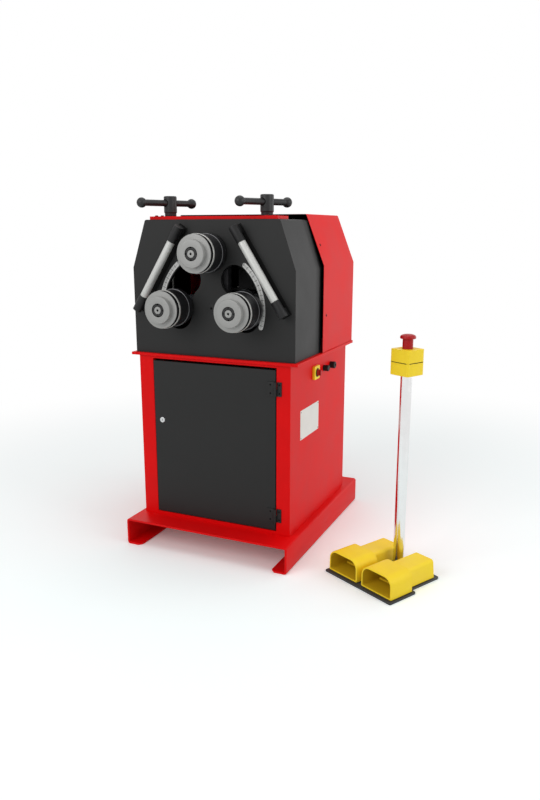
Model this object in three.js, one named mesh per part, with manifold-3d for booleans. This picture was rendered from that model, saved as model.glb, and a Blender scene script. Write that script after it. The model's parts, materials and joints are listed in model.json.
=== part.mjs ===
// Three-roll pipe and profile bender on a sheet-steel stand, with its foot-pedal station.
// Millimetres. +Z is up, +X is the operator's right and -Y points towards the operator.
import * as THREE from 'three';
import { mergeVertices } from 'three/addons/utils/BufferGeometryUtils.js';
import Module from 'manifold-3d';

const wasm = await Module();
wasm.setup();

// Fits, sheet thicknesses and roundness
const gap = 0.3;
const weldDistance = 0.0003;
const overrun = 2;
const softEdge = 2;
const fineEdge = 1;
const castEdge = 8;
const sheet = 4;
const heavySheet = 8;
const rollSteps = 24;
const fineSteps = 16;
const coarseSteps = 12;
const smallSteps = 8;
const arcSteps = 9;
const cornerSteps = 3;
const hoodSteps = 6;
const bendSteps = 2;

// Base channel
const baseWidth = 720;
const baseDepth = 870;
const baseHeight = 110;
const baseLip = 66;
const baseBend = 10;
const lipChamfer = 14;

// Cabinet and its door opening
const cabinetWidth = 662;
const cabinetFrontY = -334;
const cabinetRearY = 314;
const cabinetFlange = 25;
const openingLeftX = -268;
const openingRightX = 274;
const openingBottomZ = 125;
const openingTopZ = 778;
const openingReturn = 15;

// Door, hinges and lock
const doorReveal = 3;
const doorProud = 2;
const doorSheet = 2.5;
const doorFlange = 12;
const doorBottomZ = 129;
const doorTopZ = 769;
const hingeHeight = 55;
const hingeLeaf = 3;
const hingeBarrelRadius = 6;
const hingePinRadius = 3;
const hingeAxisX = 272;
const hingeAxisY = -343;
const hingeFrameEndX = 296;
const hingeDoorEndX = 236;
const hingeBottoms = { upper: 670, lower: 164 };
const lockX = -230.8;
const lockZ = 525.7;
const lockRadius = 9.7;
const lockRim = 1.6;
const lockHeadHeight = 3;
const camLength = 45;
const camWidth = 16;
const camSheet = 3;

// Table plate
const tableWidth = 725;
const tableFrontY = -344;
const tableRearY = 320;
const tableTopZ = 799;
const tableEdge = 11;
const tableSheet = 5;

// Dark head box
const headWidth = 694;
const headTopWidth = 570;
const headFrontY = -329;
const headRearY = -60;
const headVertexZ = 1135;
const headTopZ = 1318;
const headCorner = 10;
const panelSheet = 12;
const headSheet = 5;

// Red rear cover
const coverInset = 3.5;
const coverWidth = tableWidth - 2 * coverInset;
const coverTopWidth = 564;
const coverFrontY = -65;
const coverRearY = 313;
const coverVertexZ = 1143.5;
const coverTopZ = 1340;

// Roll axes: the two lower rolls swing about the drive axis
const driveZ = 988;
const armRadius = 147.5;
const rollAxisGap = 208;
const armLowAngle = -11.4;
const armHighAngle = 47;
const slotHalfWidth = 57.5;

// Rolls
const rollRadius = 72.3;
const rollFrontY = -455;
const rollHubRadius = 51;
const rollHubHeight = 20;
const frontRingWidth = 4;
const rollGrooveWidth = 14;
const rollGrooveDepth = 10;
const rollRimWidth = 10;
const rollRearRimWidth = 23;
const rollWaistDepth = 2.3;
const rollWidth = 118;
const rollChamfer = 2;

// Shafts, sprockets and gears along Y
const shaftRadius = 25;
const seatRadius = 20;
const stubRadius = 14;
const stubReach = 2;
const centreHoleRadius = 4;
const centreHoleDepth = 10;
const collarRadius = 36;
const shaftHubRadius = 32;
const lockNutRadius = 25;
const lockNutHeight = 12;
const lockNutSlot = 7;
const lockNutSlotDepth = 4;
const frontPlateFrontY = -300;
const frontPlateRearY = -270;
const rearPlateFrontY = 25;
const rearPlateRearY = 50;
const bossRadius = 45;
const bossHeight = 12;
const bossHoleRadius = 53;
const chainWidth = 15;
const chainThickness = 11;
const sprocketRadius = 36;
const leftChainY = 54;
const rightChainY = 73;
const gearFrontY = 93;
const gearWidth = 28;
const gearTeeth = 26;
const toothRootShare = 1.05;
const toothTipShare = 0.85;
const rootHalfShare = 0.29;
const tipHalfShare = 0.11;
const upperGearShare = 0.5;
const driveShaftRadius = 20;
const driveHubRadius = 28;

// Inner frame
const columnHalfWidth = 58;
const topPlateHalfWidth = 270;
const topPlateFrontY = -316.7;
const topPlateRearY = -217;
const topPlateSheet = 12;
const footHalfWidth = 120;
const footSheet = 12;
const pivotTubeRadius = 34;
const gussetReach = 240;
const gussetDrop = 130;
const gussetSheet = 14;

// Swing arms
const armTubeRadius = 39;
const armTubeRearY = 8;
const cheekSheet = 18;
const cheekRingRadius = 52;
const cheekWaist = 34;
const lugRadius = 27;
const leftFrontCheekY = -244;
const rightFrontCheekY = -224;
const leftRearCheekY = -16;
const rightRearCheekY = -36;

// Adjusting screws, their nuts and sliding bars
const screwX = 206;
const screwY = -267;
const screwRadius = 10;
const screwBottomZ = 868;
const journalRadius = 14;
const screwBossRadius = 30;
const screwBossDrop = 40;
const retainRadius = 20;
const retainHeight = 10;
const neckRadius = 22.5;
const neckHeight = 12;
const headRadius = 25;
const headHeight = 64;
const headChamfer = 3;
const barRadius = 12;
const barBallRadius = 19;
const barSpan = 232;
const barSlip = -14.5;
const barTurn = 66.5;
const barRise = 37.4;
const nutWidth = 44;
const nutDepth = 40;
const nutHeight = 40;
const nutPinRadius = 10;
const nutAngle = -16;
const nutPlay = 2.6;
const nutSlotReach = 11;

// Graduated arc plates
const scaleInnerRadius = 209;
const scaleOuterRadius = 226.5;
const scaleLowAngle = -17;
const scaleHighAngle = 49;
const scaleSheet = 1.5;

// Slanting tube handles
const handleInset = 133.2;
const handleX = headWidth / 2 - handleInset;
const handleZ = 1132;
const handleStandoff = 34;
const handleLean = 32.2;
const handleLength = 379;
const handleTubeShown = 248;
const handleTubeRadius = 15;
const handleTubeWall = 2;
const handleEndRadius = 17.5;
const handleInsert = 15;
const handleFootWidth = 26;
const handleFootLength = 30;

// Worm gearbox and motor
const gearboxFrontY = 132;
const gearboxRearY = 232;
const gearboxRadius = 85;
const wormX = 80;
const wormY = 182;
const wormRadius = 48;
const wormTopZ = 1075;
const wormFlangeRadius = 80;
const wormFlangeHeight = 14;
const motorTopZ = 864;
const motorBottomZ = 560;
const motorRadius = 66;
const motorFinHeight = 8;
const motorFins = 18;
const finTopStartShare = 0.2;
const finTopEndShare = 0.5;
const finFootShare = 0.7;
const fanCoverRadius = 76;
const fanCoverHeight = 60;
const terminalWidth = 90;
const terminalReach = 34;
const gearboxFootHalfWidth = 45;
const motorHoleRadius = 84;

// Control box on the left wall inside the cabinet
const controlDepth = 120;
const controlFrontY = -140;
const controlRearY = 160;
const controlBottomZ = 300;
const controlTopZ = 620;
const controlLid = 8;
const controlGroove = 3;

// Main switch and cable entries on the right wall
const switchY = -76.5;
const switchZ = 721;
const switchWidth = 57;
const switchHeight = 54.5;
const switchDepth = 10.5;
const switchCorner = 6;
const switchBackRadius = 15;
const switchBackDepth = 40;
const knobRadius = 14;
const knobHeight = 7;
const knobGripWidth = 8;
const knobGripHeight = 9;
const knobShaftRadius = 5;
const knobShaftDepth = 7;
const entryZ = 721;
const glandY = 28;
const socketY = 110;
const entryRadius = 13;
const entryLength = 21;
const entryStubRadius = 9;
const entryStubDepth = 12;
const entryBodyShare = 0.33;
const glandSides = 6;

// Pedal station, in its own frame around the column's foot
const stationX = 737.4;
const stationY = -219.8;
const stationTurn = -28;
const stationPlate = 8;
const stationFrontHalf = 168;
const stationRearHalf = 143;
const stationFrontY = -226;
const stationStepY = -88;
const stationRearY = 70;
const stationCorner = 9;
const hoodInnerX = 11;
const hoodWidth = 149;
const hoodFrontY = -213;
const hoodRearY = -100;
const hoodTopZ = 88;
const hoodRound = 27;
const hoodFoot = 5;
const hoodWall = 6;
const housingWidth = 103;
const housingRearY = 50;
const housingTopZ = 80;
const housingRound = 22;
const treadPivotY = 18;
const treadPivotZ = 26;
const treadPivotRadius = 8;
const treadPivotLength = 80;
const treadPinRadius = 4;
const treadPinReach = 49;
const treadSheet = 8;
const treadWidth = 84;
const treadFrontY = -150;
const treadRearY = -40;
const treadLeverWidth = 60;
const treadRise = 2;
const columnRadius = 21.2;
const columnWall = 2.2;
const columnSocketRadius = 28;
const columnSocketHeight = 24;
const stopBoxWidth = 86;
const stopBoxBottomZ = 771;
const stopBoxSplitZ = 818;
const stopBoxTopZ = 865;
const stopBoxRound = 8;
const stopBoxWall = 3;
const stopStemRadius = 19;
const stopStemDepth = 21;
const stopCapRadius = 28.5;
const stopCapBottomZ = 902;
const stopCapTopZ = 918;
const capDomeShare = 0.72;
const capRimShare = 0.35;
const capShoulderShare = 0.8;
const stationGlandRadius = 10;
const stationGlandLength = 18;
const glandNeckShare = 0.7;

// Worked-out places
const upperZ = driveZ + rollAxisGap;
const rollRearY = rollFrontY + rollWidth;
const hubFrontY = rollFrontY - rollHubHeight;
const nutSeatY = hubFrontY + lockNutHeight;
const shaftFrontY = hubFrontY - stubReach;
const upperGearRadius = rollAxisGap / 2;
const nutZ = driveZ + screwX * Math.tan(radians(nutAngle));
const screwNeckZ = headTopZ + topPlateSheet + 2 * gap;
const barZ = screwNeckZ + neckHeight + barRise;
const gearRearY = gearFrontY + gearWidth;

// Colours and finishes
const finishes = {
  red: { color: 0xd01820, roughness: 0.42, metalness: 0 },
  darkGrey: { color: 0x383838, roughness: 0.55, metalness: 0 },
  castGrey: { color: 0x5c6064, roughness: 0.6, metalness: 0.2 },
  black: { color: 0x1e1e1f, roughness: 0.5, metalness: 0 },
  blackSteel: { color: 0x2c2c2d, roughness: 0.35, metalness: 0.7 },
  steel: { color: 0xa6a6a2, roughness: 0.28, metalness: 0.9 },
  aluminium: { color: 0xcfcfcb, roughness: 0.35, metalness: 0.85 },
  chrome: { color: 0xe2e2e2, roughness: 0.08, metalness: 1 },
  zinc: { color: 0xb9bcbd, roughness: 0.4, metalness: 0.8 },
  yellow: { color: 0xf0cf2e, roughness: 0.5, metalness: 0 },
  knobRed: { color: 0xb3121a, roughness: 0.35, metalness: 0 },
};

function radians(degrees) {
  return THREE.MathUtils.degToRad(degrees);
}

// Turns a closed three.js geometry into a solid with its faces pointing out
function solid(geometry) {
  const bare = geometry.clone();
  bare.deleteAttribute('normal');
  bare.deleteAttribute('uv');
  const merged = mergeVertices(bare, weldDistance);
  const points = merged.attributes.position.array;
  const faces = [];
  for (let i = 0; i < merged.index.count; i += 3) {
    const [a, b, c] = [0, 1, 2].map((k) => merged.index.getX(i + k));
    if (a !== b && b !== c && c !== a) faces.push(a, b, c);
  }
  if (signedVolume(points, faces) < 0) faces.reverse();
  return new wasm.Manifold(new wasm.Mesh({
    numProp: 3,
    vertProperties: new Float32Array(points),
    triVerts: new Uint32Array(faces),
  }));
}

// Six times the signed volume of a closed triangle list
function signedVolume(points, faces) {
  const corner = (i) => new THREE.Vector3().fromArray(points, 3 * faces[i]);
  let total = 0;
  for (let i = 0; i < faces.length; i += 3) {
    total += corner(i).dot(corner(i + 1).cross(corner(i + 2)));
  }
  return total;
}

// Names a finished solid and gives it a flat-shaded geometry and a finish
function mesh(name, body, finish) {
  const geometry = surface(body);
  geometry.computeVertexNormals();
  const made = new THREE.Mesh(geometry, new THREE.MeshStandardMaterial(finishes[finish]));
  made.name = name;
  return made;
}

// Geometry that holds the corners and faces of a solid
function surface(body) {
  const held = body.getMesh();
  const geometry = new THREE.BufferGeometry();
  geometry.setAttribute('position', new THREE.BufferAttribute(held.vertProperties, 3));
  geometry.setIndex(new THREE.BufferAttribute(held.triVerts, 1));
  return geometry;
}

// The same solid turned, moved or mirrored by a matrix
function moved(body, matrix) {
  return solid(surface(body).applyMatrix4(matrix));
}

function block(x0, x1, y0, y1, z0, z1) {
  const geometry = new THREE.BoxGeometry(x1 - x0, y1 - y0, z1 - z0);
  return solid(geometry.translate((x0 + x1) / 2, (y0 + y1) / 2, (z0 + z1) / 2));
}

// Outline through corners [u, v, radius], each corner rounded by its radius
function outline(corners) {
  const shape = new THREE.Shape();
  corners.forEach(([u, v, radius = 0], i) => {
    const here = new THREE.Vector2(u, v);
    const before = corners[(i + corners.length - 1) % corners.length];
    const after = corners[(i + 1) % corners.length];
    const back = new THREE.Vector2(before[0], before[1]).sub(here).normalize();
    const ahead = new THREE.Vector2(after[0], after[1]).sub(here).normalize();
    const reach = radius / Math.tan(Math.acos(back.dot(ahead)) / 2);
    const enter = here.clone().addScaledVector(back, reach);
    const leave = here.clone().addScaledVector(ahead, reach);
    if (i === 0) shape.moveTo(enter.x, enter.y);
    else shape.lineTo(enter.x, enter.y);
    if (radius > 0) shape.quadraticCurveTo(u, v, leave.x, leave.y);
  });
  return shape;
}

// Extrudes an outline drawn in X and Z along Y
function prismY(shape, y0, y1, steps = cornerSteps) {
  const settings = { depth: y1 - y0, bevelEnabled: false, curveSegments: steps };
  const geometry = new THREE.ExtrudeGeometry(shape, settings);
  return solid(geometry.rotateX(Math.PI / 2).translate(0, y1, 0));
}

// Extrudes an outline drawn in X and Y along Z
function prismZ(shape, z0, z1, steps = cornerSteps) {
  const settings = { depth: z1 - z0, bevelEnabled: false, curveSegments: steps };
  const geometry = new THREE.ExtrudeGeometry(shape, settings);
  return solid(geometry.translate(0, 0, z0));
}

// Turns a profile of [radius, distance] pairs about the Y axis; it closes on itself
function lathe(profile, steps = fineSteps) {
  const points = profile.concat([profile[0]]).map(([r, y]) => new THREE.Vector2(r, y));
  return new THREE.LatheGeometry(points, steps);
}

function turnedY(profile, x = 0, z = 0, steps = fineSteps) {
  return solid(lathe(profile, steps).translate(x, 0, z));
}

function turnedZ(profile, x = 0, y = 0, steps = fineSteps) {
  return solid(lathe(profile, steps).rotateX(Math.PI / 2).translate(x, y, 0));
}

function turnedX(profile, y = 0, z = 0, steps = fineSteps) {
  return solid(lathe(profile, steps).rotateZ(-Math.PI / 2).translate(0, y, z));
}

// Radius of a hole whose flats stay a running gap clear of a round of this radius
function hole(radius, steps = fineSteps) {
  return (radius + gap) / Math.cos(Math.PI / steps);
}

// Profile of a plain rod for the turning functions above
function rod(radius, from, to) {
  return [[0, from], [radius, from], [radius, to], [0, to]];
}

function cylinderY(radius, y0, y1, x, z, steps = fineSteps) {
  return turnedY(rod(radius, y0, y1), x, z, steps);
}

function cylinderZ(radius, z0, z1, x, y, steps = fineSteps) {
  return turnedZ(rod(radius, z0, z1), x, y, steps);
}

function cylinderX(radius, x0, x1, y, z, steps = fineSteps) {
  return turnedX(rod(radius, x0, x1), y, z, steps);
}

function join(...bodies) {
  return bodies.reduce((whole, body) => whole.add(body));
}

function cut(body, ...tools) {
  return tools.reduce((whole, tool) => whole.subtract(tool), body);
}

// The same solid on the other side of the middle plane
function mirrored(body) {
  return moved(body, new THREE.Matrix4().makeScale(-1, 1, 1));
}

// A solid for one side: side is 1 on the right and -1 on the left
function sided(body, side) {
  return side > 0 ? body : mirrored(body);
}

// Base: one folded sheet with side flanges and inward lips, open at front and back
function baseFrame() {
  const half = baseWidth / 2;
  const right = [
    [half, baseHeight, baseBend],
    [half, 0, baseBend],
    [half - baseLip, 0],
    [half - baseLip, heavySheet],
    [half - heavySheet, heavySheet],
    [half - heavySheet, baseHeight - heavySheet],
  ];
  const left = right.map(([x, z, radius]) => [-x, z, radius]).reverse();
  let body = prismY(outline(right.concat(left)), -baseDepth / 2, baseDepth / 2, bendSteps);
  for (const side of [1, -1]) {
    for (const end of [1, -1]) {
      body = body.subtract(lipCorner(side, end));
    }
  }
  return mesh('base_frame', body, 'red');
}

// Triangular tool that takes the inner corner off a base lip
function lipCorner(side, end) {
  const x = side * (baseWidth / 2 - baseLip - overrun);
  const y = end * (baseDepth / 2 + overrun);
  const reach = lipChamfer + 2 * overrun;
  const corners = [[x, y], [x + side * reach, y], [x, y - end * reach]];
  return prismZ(outline(corners), -overrun, heavySheet + overrun);
}

// Cabinet: folded shell with inner flanges, a framed door opening and wall holes
function cabinetShell() {
  const half = cabinetWidth / 2;
  const bottom = baseHeight + gap;
  const top = tableTopZ - tableSheet - gap;
  const inner = half - sheet;
  const frontY = cabinetFrontY + sheet;
  const rearY = cabinetRearY - sheet;
  const shell = cut(
    block(-half, half, cabinetFrontY, cabinetRearY, bottom, top),
    block(-inner, inner, frontY, rearY, bottom + sheet, top - sheet),
    block(-inner + cabinetFlange, inner - cabinetFlange, frontY + cabinetFlange,
      rearY - cabinetFlange, bottom - overrun, top + overrun),
  );
  const frame = block(openingLeftX - sheet, openingRightX + sheet, cabinetFrontY + overrun,
    frontY + openingReturn, openingBottomZ - sheet, openingTopZ + sheet);
  const opening = block(openingLeftX, openingRightX, cabinetFrontY - overrun,
    frontY + openingReturn + overrun, openingBottomZ, openingTopZ);
  const through = [inner - overrun, half + overrun];
  return mesh('cabinet_shell', cut(
    shell.add(frame),
    opening,
    cylinderX(hole(switchBackRadius, coarseSteps), ...through, switchY, switchZ, coarseSteps),
    cylinderX(hole(entryStubRadius, coarseSteps), ...through, glandY, entryZ, coarseSteps),
    cylinderX(hole(entryStubRadius, coarseSteps), ...through, socketY, entryZ, coarseSteps),
  ), 'red');
}

// Table: shallow tray upside down over the cabinet, with a hole for the hanging motor
function tablePlate() {
  const half = tableWidth / 2;
  const under = tableTopZ - tableSheet;
  return mesh('table_plate', cut(
    block(-half, half, tableFrontY, tableRearY, tableTopZ - tableEdge, tableTopZ),
    block(-half + sheet, half - sheet, tableFrontY + sheet, tableRearY - sheet,
      tableTopZ - tableEdge - overrun, under),
    cylinderZ(motorHoleRadius, under - overrun, tableTopZ + overrun, wormX, wormY),
  ), 'red');
}

// Six-sided outline: upright sides up to the vertex height, then leaning in to the top
function hexagon(halfWidth, halfTop, bottom, vertex, top, radius = 0) {
  return outline([
    [-halfWidth, bottom], [halfWidth, bottom], [halfWidth, vertex],
    [halfTop, top, radius], [-halfTop, top, radius], [-halfWidth, vertex],
  ]);
}

// Inner outline of a six-sided shell whose walls are all equally thick
function innerHexagon(halfWidth, halfTop, bottom, vertex, top, wall, lid) {
  const lean = Math.atan2(halfWidth - halfTop, top - vertex);
  const innerHalf = halfWidth - wall;
  const innerVertex = vertex - wall * Math.tan(lean / 2);
  const innerTop = top - lid;
  const innerHalfTop = innerHalf - (innerTop - innerVertex) * Math.tan(lean);
  return hexagon(innerHalf, innerHalfTop, bottom, innerVertex, innerTop);
}

// Slot along an arc about the drive axis, with round ends
function arcSlot(middleRadius, halfWidth, low, high) {
  const [a, b] = [radians(low), radians(high)];
  const shape = new THREE.Shape();
  const end = (angle) => [middleRadius * Math.cos(angle), driveZ + middleRadius * Math.sin(angle)];
  shape.absarc(0, driveZ, middleRadius + halfWidth, a, b, false);
  shape.absarc(...end(b), halfWidth, b, b + Math.PI, false);
  shape.absarc(0, driveZ, middleRadius - halfWidth, b, a, true);
  shape.absarc(...end(a), halfWidth, a + Math.PI, a + 2 * Math.PI, false);
  return shape;
}

// Head box: thick front panel with the two arc slots, thin sides and a lid that leaves
// room for the inner frame under its top plate; open at the back and below
function headBox() {
  const half = headWidth / 2;
  const halfTop = headTopWidth / 2;
  const bottom = tableTopZ + gap;
  const panelBackY = headFrontY + panelSheet;
  const outer = hexagon(half, halfTop, bottom, headVertexZ, headTopZ, headCorner);
  const inner = innerHexagon(half, halfTop, bottom - overrun, headVertexZ, headTopZ,
    headSheet, headSheet);
  const lidHole = topPlateHalfWidth - headCorner;
  const slot = prismY(arcSlot(armRadius, slotHalfWidth, armLowAngle, armHighAngle),
    headFrontY - overrun, panelBackY + overrun, arcSteps);
  return mesh('head_box', cut(
    prismY(outer, headFrontY, headRearY),
    prismY(inner, panelBackY, headRearY + overrun),
    block(-lidHole, lidHole, panelBackY, topPlateRearY - headCorner,
      headTopZ - headSheet - overrun, headTopZ + overrun),
    slot,
    mirrored(slot),
    cylinderY(bossHoleRadius, headFrontY - overrun, panelBackY + overrun, 0, upperZ),
  ), 'darkGrey');
}

// Rear cover: six-sided hood around the back of the head, open towards the head box
function rearCover() {
  const half = coverWidth / 2;
  const halfTop = coverTopWidth / 2;
  const bottom = tableTopZ + gap;
  const outer = hexagon(half, halfTop, bottom, coverVertexZ, coverTopZ, headCorner / 2);
  const inner = innerHexagon(half, halfTop, bottom - overrun, coverVertexZ, coverTopZ,
    sheet, sheet);
  return mesh('rear_cover', cut(
    prismY(outer, coverFrontY, coverRearY, bendSteps),
    prismY(inner, coverFrontY - overrun, coverRearY - sheet),
  ), 'red');
}

// Inner frame: foot, two column plates, top plate, gussets, screw bosses and pivot tube
function innerFrame() {
  const bottom = tableTopZ + gap;
  const top = headTopZ + gap;
  const column = columnHalfWidth;
  const gusset = outline([
    [0, top + overrun], [gussetReach, top + overrun], [gussetReach, top - gussetSheet],
    [column, top - gussetDrop], [0, top - gussetDrop],
  ]);
  const gussets = prismY(gusset, frontPlateFrontY, frontPlateFrontY + gussetSheet);
  const bosses = [1, -1].map((side) => cylinderZ(screwBossRadius, top - screwBossDrop,
    top + overrun, side * screwX, screwY));
  const body = join(
    block(-footHalfWidth, footHalfWidth, topPlateFrontY, rearPlateRearY, bottom,
      bottom + footSheet),
    block(-column, column, frontPlateFrontY, frontPlateRearY, bottom, top + overrun),
    block(-column, column, rearPlateFrontY, rearPlateRearY, bottom, top + overrun),
    block(-column, column, topPlateRearY - overrun, rearPlateRearY, top, top + topPlateSheet),
    block(-topPlateHalfWidth, topPlateHalfWidth, topPlateFrontY, topPlateRearY, top,
      top + topPlateSheet),
    cylinderY(bossRadius, frontPlateFrontY - bossHeight, frontPlateRearY, 0, upperZ),
    cylinderY(pivotTubeRadius, frontPlateFrontY, rearPlateRearY, 0, driveZ),
    gussets,
    mirrored(gussets),
    ...bosses,
  );
  const ends = [frontPlateFrontY - bossHeight - overrun, rearPlateRearY + overrun];
  return mesh('inner_frame', cut(
    body,
    cylinderY(hole(shaftRadius), ...ends, 0, upperZ),
    cylinderY(hole(driveShaftRadius), ...ends, 0, driveZ),
    ...[1, -1].map((side) => cylinderZ(hole(journalRadius), top - screwBossDrop - overrun,
      top + topPlateSheet + overrun, side * screwX, screwY)),
  ), 'red');
}

// Gear outline: straight-sided teeth, with widths given as shares of the pitch
function gearOutline(radius, teeth, firstShare) {
  const tooth = 2 * radius / teeth;
  const rootRadius = radius - tooth * toothRootShare;
  const tipRadius = radius + tooth * toothTipShare;
  const points = [];
  for (let i = 0; i < teeth; i += 1) {
    const corners = [
      [rootRadius, -rootHalfShare], [tipRadius, -tipHalfShare], [tipRadius, tipHalfShare],
      [rootRadius, rootHalfShare],
    ];
    for (const [r, share] of corners) {
      const angle = (i + firstShare + share) / teeth * 2 * Math.PI;
      points.push(new THREE.Vector2(r * Math.cos(angle), r * Math.sin(angle)));
    }
  }
  return new THREE.Shape(points);
}

// Roll shaft with its front stub, roll seat, collar and journal up to hubY
function rollShaft(collarRearY, hubY) {
  const collarFrontY = rollRearY + gap;
  return turnedY([
    [0, shaftFrontY + centreHoleDepth],
    [centreHoleRadius, shaftFrontY + centreHoleDepth - centreHoleRadius],
    [centreHoleRadius, shaftFrontY],
    [stubRadius, shaftFrontY],
    [stubRadius, rollFrontY + frontRingWidth],
    [seatRadius, rollFrontY + frontRingWidth + gap],
    [seatRadius, collarFrontY],
    [collarRadius, collarFrontY],
    [collarRadius, collarRearY],
    [shaftRadius, collarRearY],
    [shaftRadius, hubY],
    [0, hubY],
  ]);
}

// Upper shaft: runs in the inner frame and carries the rear gear
function upperShaft() {
  const journalEndY = rearPlateRearY + gap;
  const shaft = rollShaft(frontPlateFrontY - bossHeight - gap, journalEndY);
  const hub = cylinderY(shaftHubRadius, journalEndY, gearFrontY + overrun, 0, 0, coarseSteps);
  const gear = prismY(gearOutline(upperGearRadius, gearTeeth, upperGearShare), gearFrontY,
    gearRearY);
  return mesh('shaft_upper', join(shaft, hub, gear), 'steel');
}

// Lower shaft: runs in its arm's tube and carries a chain wheel at chainY
function lowerShaft(name, chainY) {
  const hubY = armTubeRearY + gap;
  const shaft = rollShaft(frontPlateFrontY - gap, hubY);
  const hub = cylinderY(shaftRadius, hubY, chainY + overrun, 0, 0, coarseSteps);
  const wheel = cylinderY(sprocketRadius, chainY, chainY + chainWidth, 0, 0);
  return mesh(name, join(shaft, hub, wheel), 'steel');
}

// Drive shaft: two chain wheels and the gear that meshes with the upper shaft's gear
function driveShaft() {
  const wheels = [leftChainY, rightChainY].map((y) => cylinderY(sprocketRadius, y,
    y + chainWidth, 0, 0));
  return mesh('drive_shaft', join(
    cylinderY(driveShaftRadius, frontPlateFrontY + gap, gearboxRearY + gap, 0, 0, coarseSteps),
    cylinderY(driveHubRadius, rearPlateRearY + gap, gearFrontY + overrun, 0, 0, coarseSteps),
    ...wheels,
    prismY(gearOutline(upperGearRadius, gearTeeth, 0), gearFrontY, gearRearY),
  ), 'steel');
}

// Chain drawn as the closed band that it fills around its two wheels
function chain(name, side, chainY) {
  const inner = hole(sprocketRadius, 2 * arcSteps);
  const outer = inner + chainThickness;
  const band = (radius) => {
    const shape = new THREE.Shape();
    shape.absarc(0, driveZ, radius, Math.PI / 2, 3 * Math.PI / 2, false);
    shape.absarc(armRadius, driveZ, radius, -Math.PI / 2, Math.PI / 2, false);
    return shape;
  };
  const loop = cut(
    prismY(band(outer), chainY, chainY + chainWidth, arcSteps),
    prismY(band(inner), chainY - overrun, chainY + chainWidth + overrun, arcSteps),
  );
  return mesh(name, sided(loop, side), 'blackSteel');
}

// Front ring of a roll: a thin flange with the raised hub, bored out in front for the nut
function rollFrontRing(name) {
  const bore = hole(stubRadius, rollSteps);
  const counterbore = hole(lockNutRadius, rollSteps);
  const edge = rollRadius - fineEdge;
  const rearY = rollFrontY + frontRingWidth - gap;
  return mesh(name, turnedY([
    [bore, nutSeatY],
    [counterbore, nutSeatY],
    [counterbore, hubFrontY],
    [rollHubRadius - rollChamfer, hubFrontY],
    [rollHubRadius, hubFrontY + rollChamfer],
    [rollHubRadius, rollFrontY],
    [edge, rollFrontY],
    [rollRadius, rollFrontY + fineEdge],
    [rollRadius, rearY - fineEdge],
    [edge, rearY],
    [bore, rearY],
  ], 0, 0, rollSteps), 'steel');
}

// Body of a roll: groove behind the front ring, and a waist between two rims
function rollBody(name) {
  const bore = hole(seatRadius, rollSteps);
  const startY = rollFrontY + frontRingWidth + gap;
  const rimY = startY + rollGrooveWidth;
  const edge = rollRadius - rollChamfer;
  const waist = rollRadius - rollWaistDepth;
  return mesh(name, turnedY([
    [bore, startY],
    [rollRadius - rollGrooveDepth, startY],
    [rollRadius - rollGrooveDepth, rimY],
    [edge, rimY],
    [rollRadius, rimY + rollChamfer],
    [rollRadius, rimY + rollRimWidth - rollChamfer],
    [waist, rimY + rollRimWidth],
    [waist, rollRearY - rollRearRimWidth],
    [rollRadius, rollRearY - rollRearRimWidth + rollChamfer],
    [rollRadius, rollRearY - rollChamfer],
    [edge, rollRearY],
    [bore, rollRearY],
  ], 0, 0, rollSteps), 'steel');
}

// Round lock nut with four spanner slots, sunk flush into the front ring's hub
function lockNut(name) {
  const frontY = hubFrontY;
  const rearY = nutSeatY - gap;
  const bore = hole(stubRadius);
  const ring = turnedY([
    [bore, frontY], [lockNutRadius, frontY], [lockNutRadius, rearY], [bore, rearY],
  ]);
  const inner = lockNutRadius - lockNutSlotDepth;
  const outer = lockNutRadius + overrun;
  const half = lockNutSlot / 2;
  const ends = [frontY - overrun, rearY + overrun];
  return mesh(name, cut(
    ring,
    block(inner, outer, ends[0], ends[1], -half, half),
    block(-outer, -inner, ends[0], ends[1], -half, half),
    block(-half, half, ends[0], ends[1], inner, outer),
    block(-half, half, ends[0], ends[1], -outer, -inner),
  ), 'blackSteel');
}

// One roll with its shaft and nut, placed on its axis
function roll(place, x, z, shaft) {
  const group = new THREE.Group();
  group.position.set(x, 0, z);
  group.add(shaft);
  group.add(rollFrontRing(`roll_ring_${place}`));
  group.add(rollBody(`roll_body_${place}`));
  group.add(lockNut(`lock_nut_${place}`));
  return group;
}

// Straight web between two discs, with a half width at each end
function web(fromX, fromZ, fromHalf, toX, toZ, toHalf, y0, y1) {
  const across = new THREE.Vector2(fromZ - toZ, toX - fromX).normalize();
  const corner = (x, z, half) => [x + across.x * half, z + across.y * half];
  return prismY(outline([
    corner(fromX, fromZ, -fromHalf), corner(toX, toZ, -toHalf),
    corner(toX, toZ, toHalf), corner(fromX, fromZ, fromHalf),
  ]), y0, y1);
}

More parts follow.
